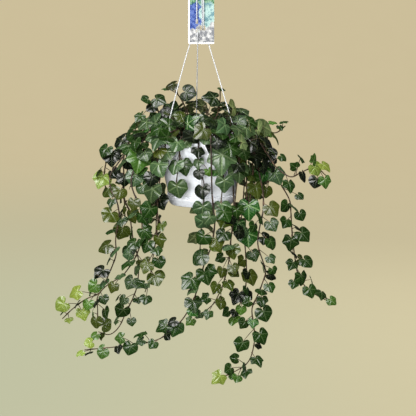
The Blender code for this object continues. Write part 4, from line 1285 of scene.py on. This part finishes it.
def hanger_pieces():
    bend_centre = Vector((0, 0, -HOOK_BEND_RADIUS + HOOK_ROD_RADIUS))
    rod = [Vector((0, 3.8, -30)), Vector((0, 3.8, -23)), Vector((-4, 2.5, -18.5)), Vector((-9.2, 1, -14.5))]
    for degrees in range(180, -1, -18):
        angle = math.radians(degrees)
        rod.append(bend_centre + Vector((math.cos(angle), 0, math.sin(angle))) * HOOK_BEND_RADIUS)
    bent = smooth_route([point * MM for point in rod], 1.2 * MM)
    radii = [HOOK_ROD_RADIUS * MM] * len(bent)
    for index, share in enumerate(HOOK_TIP, start=1):
        radii[-index] *= share
    whole = joined(soft_block(*block(HUB_CENTRE, HUB_SIZE)), tube(bent, radii, 20))
    hook = mesh_piece("hook_and_hub", *whole, [strand_look])
    tops = [Vector(points[0]) * MM for points in STRAND_STARTS.values()]
    cut(hook, *upright_bars(tops, STRAND_HOLE_RADIUS, -40, -24, 16))
    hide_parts("hanger_hook")
    for name in STRAND_STARTS:
        route = smooth_route(strand_route(name), 1.6 * MM)
        bead_spots = ((route[0] - UP * 3.4 * MM, TOP_BEAD[1]), (strand_route(name)[-2], LOW_BEAD[0]))
        radii = []
        for point in route:
            swell = max(
                (size - STRAND_RADIUS) * bell(point - spot, BEAD_REACH) for spot, size in bead_spots
            )
            radii.append((STRAND_RADIUS + swell) * MM)
        strand = mesh_piece(f"strand_{name}", *tube(route, radii, 14), [strand_look])
        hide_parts(f"hanger_strand_{name}")


def soft_block(verts, faces):
    """The block with its edges rounded, as vertices and faces."""
    shell = bmesh.new()
    corners = [shell.verts.new(vert) for vert in verts]
    for face in faces:
        shell.faces.new([corners[corner] for corner in face])
    bmesh.ops.bevel(shell, geom=shell.edges[:], offset=1.4 * MM, segments=4, profile=0.5, affect="EDGES")
    shell.verts.index_update()
    soft_verts = [vert.co.copy() for vert in shell.verts]
    soft_faces = [tuple(corner.index for corner in face.verts) for face in shell.faces]
    shell.free()
    return soft_verts, soft_faces


CARD_CORNER, CARD_CORNER_STEPS = 2.5, 6


def card_piece():
    """A thin card with round corners, cut by the slots that the strands pass through."""
    corner, turns = CARD_CORNER, CARD_CORNER_STEPS
    outline = []
    for quarter, (side, top) in enumerate(((1, 1), (-1, 1), (-1, -1), (1, -1))):
        x = CARD_X + side * (CARD_WIDTH / 2 - corner)
        z = (CARD_TOP if top > 0 else CARD_BOTTOM) - top * corner
        for turn in range(turns + 1):
            angle = math.radians(90 * (quarter + turn / turns))
            outline.append((x + corner * math.cos(angle), z + corner * math.sin(angle)))
    sides = (CARD_Y - CARD_THICKNESS / 2, CARD_Y + CARD_THICKNESS / 2)
    verts = [Vector((x, y, z)) * MM for y in sides for x, z in outline]
    count = len(outline)
    faces = [tuple(range(count)), tuple(reversed(range(count, 2 * count)))]
    faces += [(a, (a + 1) % count, (a + 1) % count + count, a + count) for a in range(count)]
    card = mesh_piece("picture_card", verts, faces, [card_look], 30)
    slots = [
        block((x, CARD_Y, z), (width, 8 * CARD_THICKNESS, height)) for x, width, z, height in CARD_SLOTS
    ]
    cut(card, *joined(*slots), 30)
    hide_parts("label_card")


# ------------------------------------------------- stage, light and the camera


STAGE_OUTLINE = [
    (0, -1150), (6000, -1150), (6900, -1000), (7600, -600), (7900, 0), (8000, 900), (8050, 9000),
]


def stage():
    """A pale floor that curves up into a wall all round, greener in front."""
    mesh = new_mesh("studio_floor", *lathe(STAGE_OUTLINE, 96))
    mesh.shade_smooth()
    floor = in_scene("studio_floor", mesh)
    floor.visible_diffuse = False
    floor.visible_glossy = False
    floor.visible_shadow = False
    paper = Look("studio_paper")
    split = paper.node("SeparateXYZ", Vector=paper.place)
    near = paper.stretch(split.outputs["Y"], 6.5, 1.5)
    left = paper.stretch(split.outputs["X"], 0.9, -0.6, 0.3, 1)
    warm = paper.mix(paper.noise(6, 3), linear((207, 193, 156)), linear((209, 195, 158)))
    tone = paper.mix(paper.math("MULTIPLY", near, left), warm, linear((184, 185, 156)))
    paper.set(Base_Color=paper.times(tone, (0.1, 0.1, 0.1)), Roughness=0.9)
    paper.set(Emission_Color=tone, Emission_Strength=0.93, Specular_IOR_Level=0.0)
    mesh.materials.append(paper.material)


def aimed(name, data, place):
    """A light or the camera at the place, turned to AIM."""
    made = in_scene(name, data)
    made.location = place
    made.rotation_mode = "QUATERNION"
    made.rotation_quaternion = (AIM - made.location).to_track_quat("-Z", "Y")
    return made


def lights():
    """Soft light on the plant from all round."""
    world = bpy.data.worlds.new("studio_air")
    bpy.context.scene.world = world
    world.use_nodes = True
    background = world.node_tree.nodes["Background"]
    background.inputs["Color"].default_value = (0.95, 0.98, 1, 1)
    background.inputs["Strength"].default_value = WORLD_STRENGTH
    for name, (place, size, power, colour, shows_in_gloss) in LIGHTS.items():
        data = bpy.data.lights.new(name, "AREA")
        data.shape = "RECTANGLE"
        data.size, data.size_y = size
        data.energy = power
        data.color = colour
        light = aimed(name, data, place)
        light.visible_camera = False
        light.visible_glossy = shows_in_gloss


def camera():
    data = bpy.data.cameras.new("camera")
    data.sensor_width = 36
    data.lens = data.sensor_width * CAMERA_DISTANCE / VIEW_WIDTH
    data.clip_end = 60
    angle = math.radians(CAMERA_ELEVATION)
    place = AIM + Vector((0, -math.cos(angle), math.sin(angle))) * CAMERA_DISTANCE
    bpy.context.scene.camera = aimed("camera", data, place)


camera()
stage()
lights()
leaf_look, bark_look = leaf_material(), bark_material()
pot_look = plastic_material("pot_plastic", (248, 251, 255), 0.32)
strand_look = plastic_material("hanger_plastic", (176, 178, 180), 0.45)
soil_look, perlite_look, card_look = soil_material(), perlite_material(), card_material()
pot_pieces()
soil_pieces()
hanger_pieces()
card_piece()
crowd = Crowd()
vines = layout(crowd)
small_leaves(crowd, vines)
for number, (name, (route, leaves)) in enumerate(vines.items()):
    vine_piece(name, route, leaves, number)

bpy.context.scene.view_settings.view_transform = "Standard"
bpy.context.scene.view_settings.look = "None"
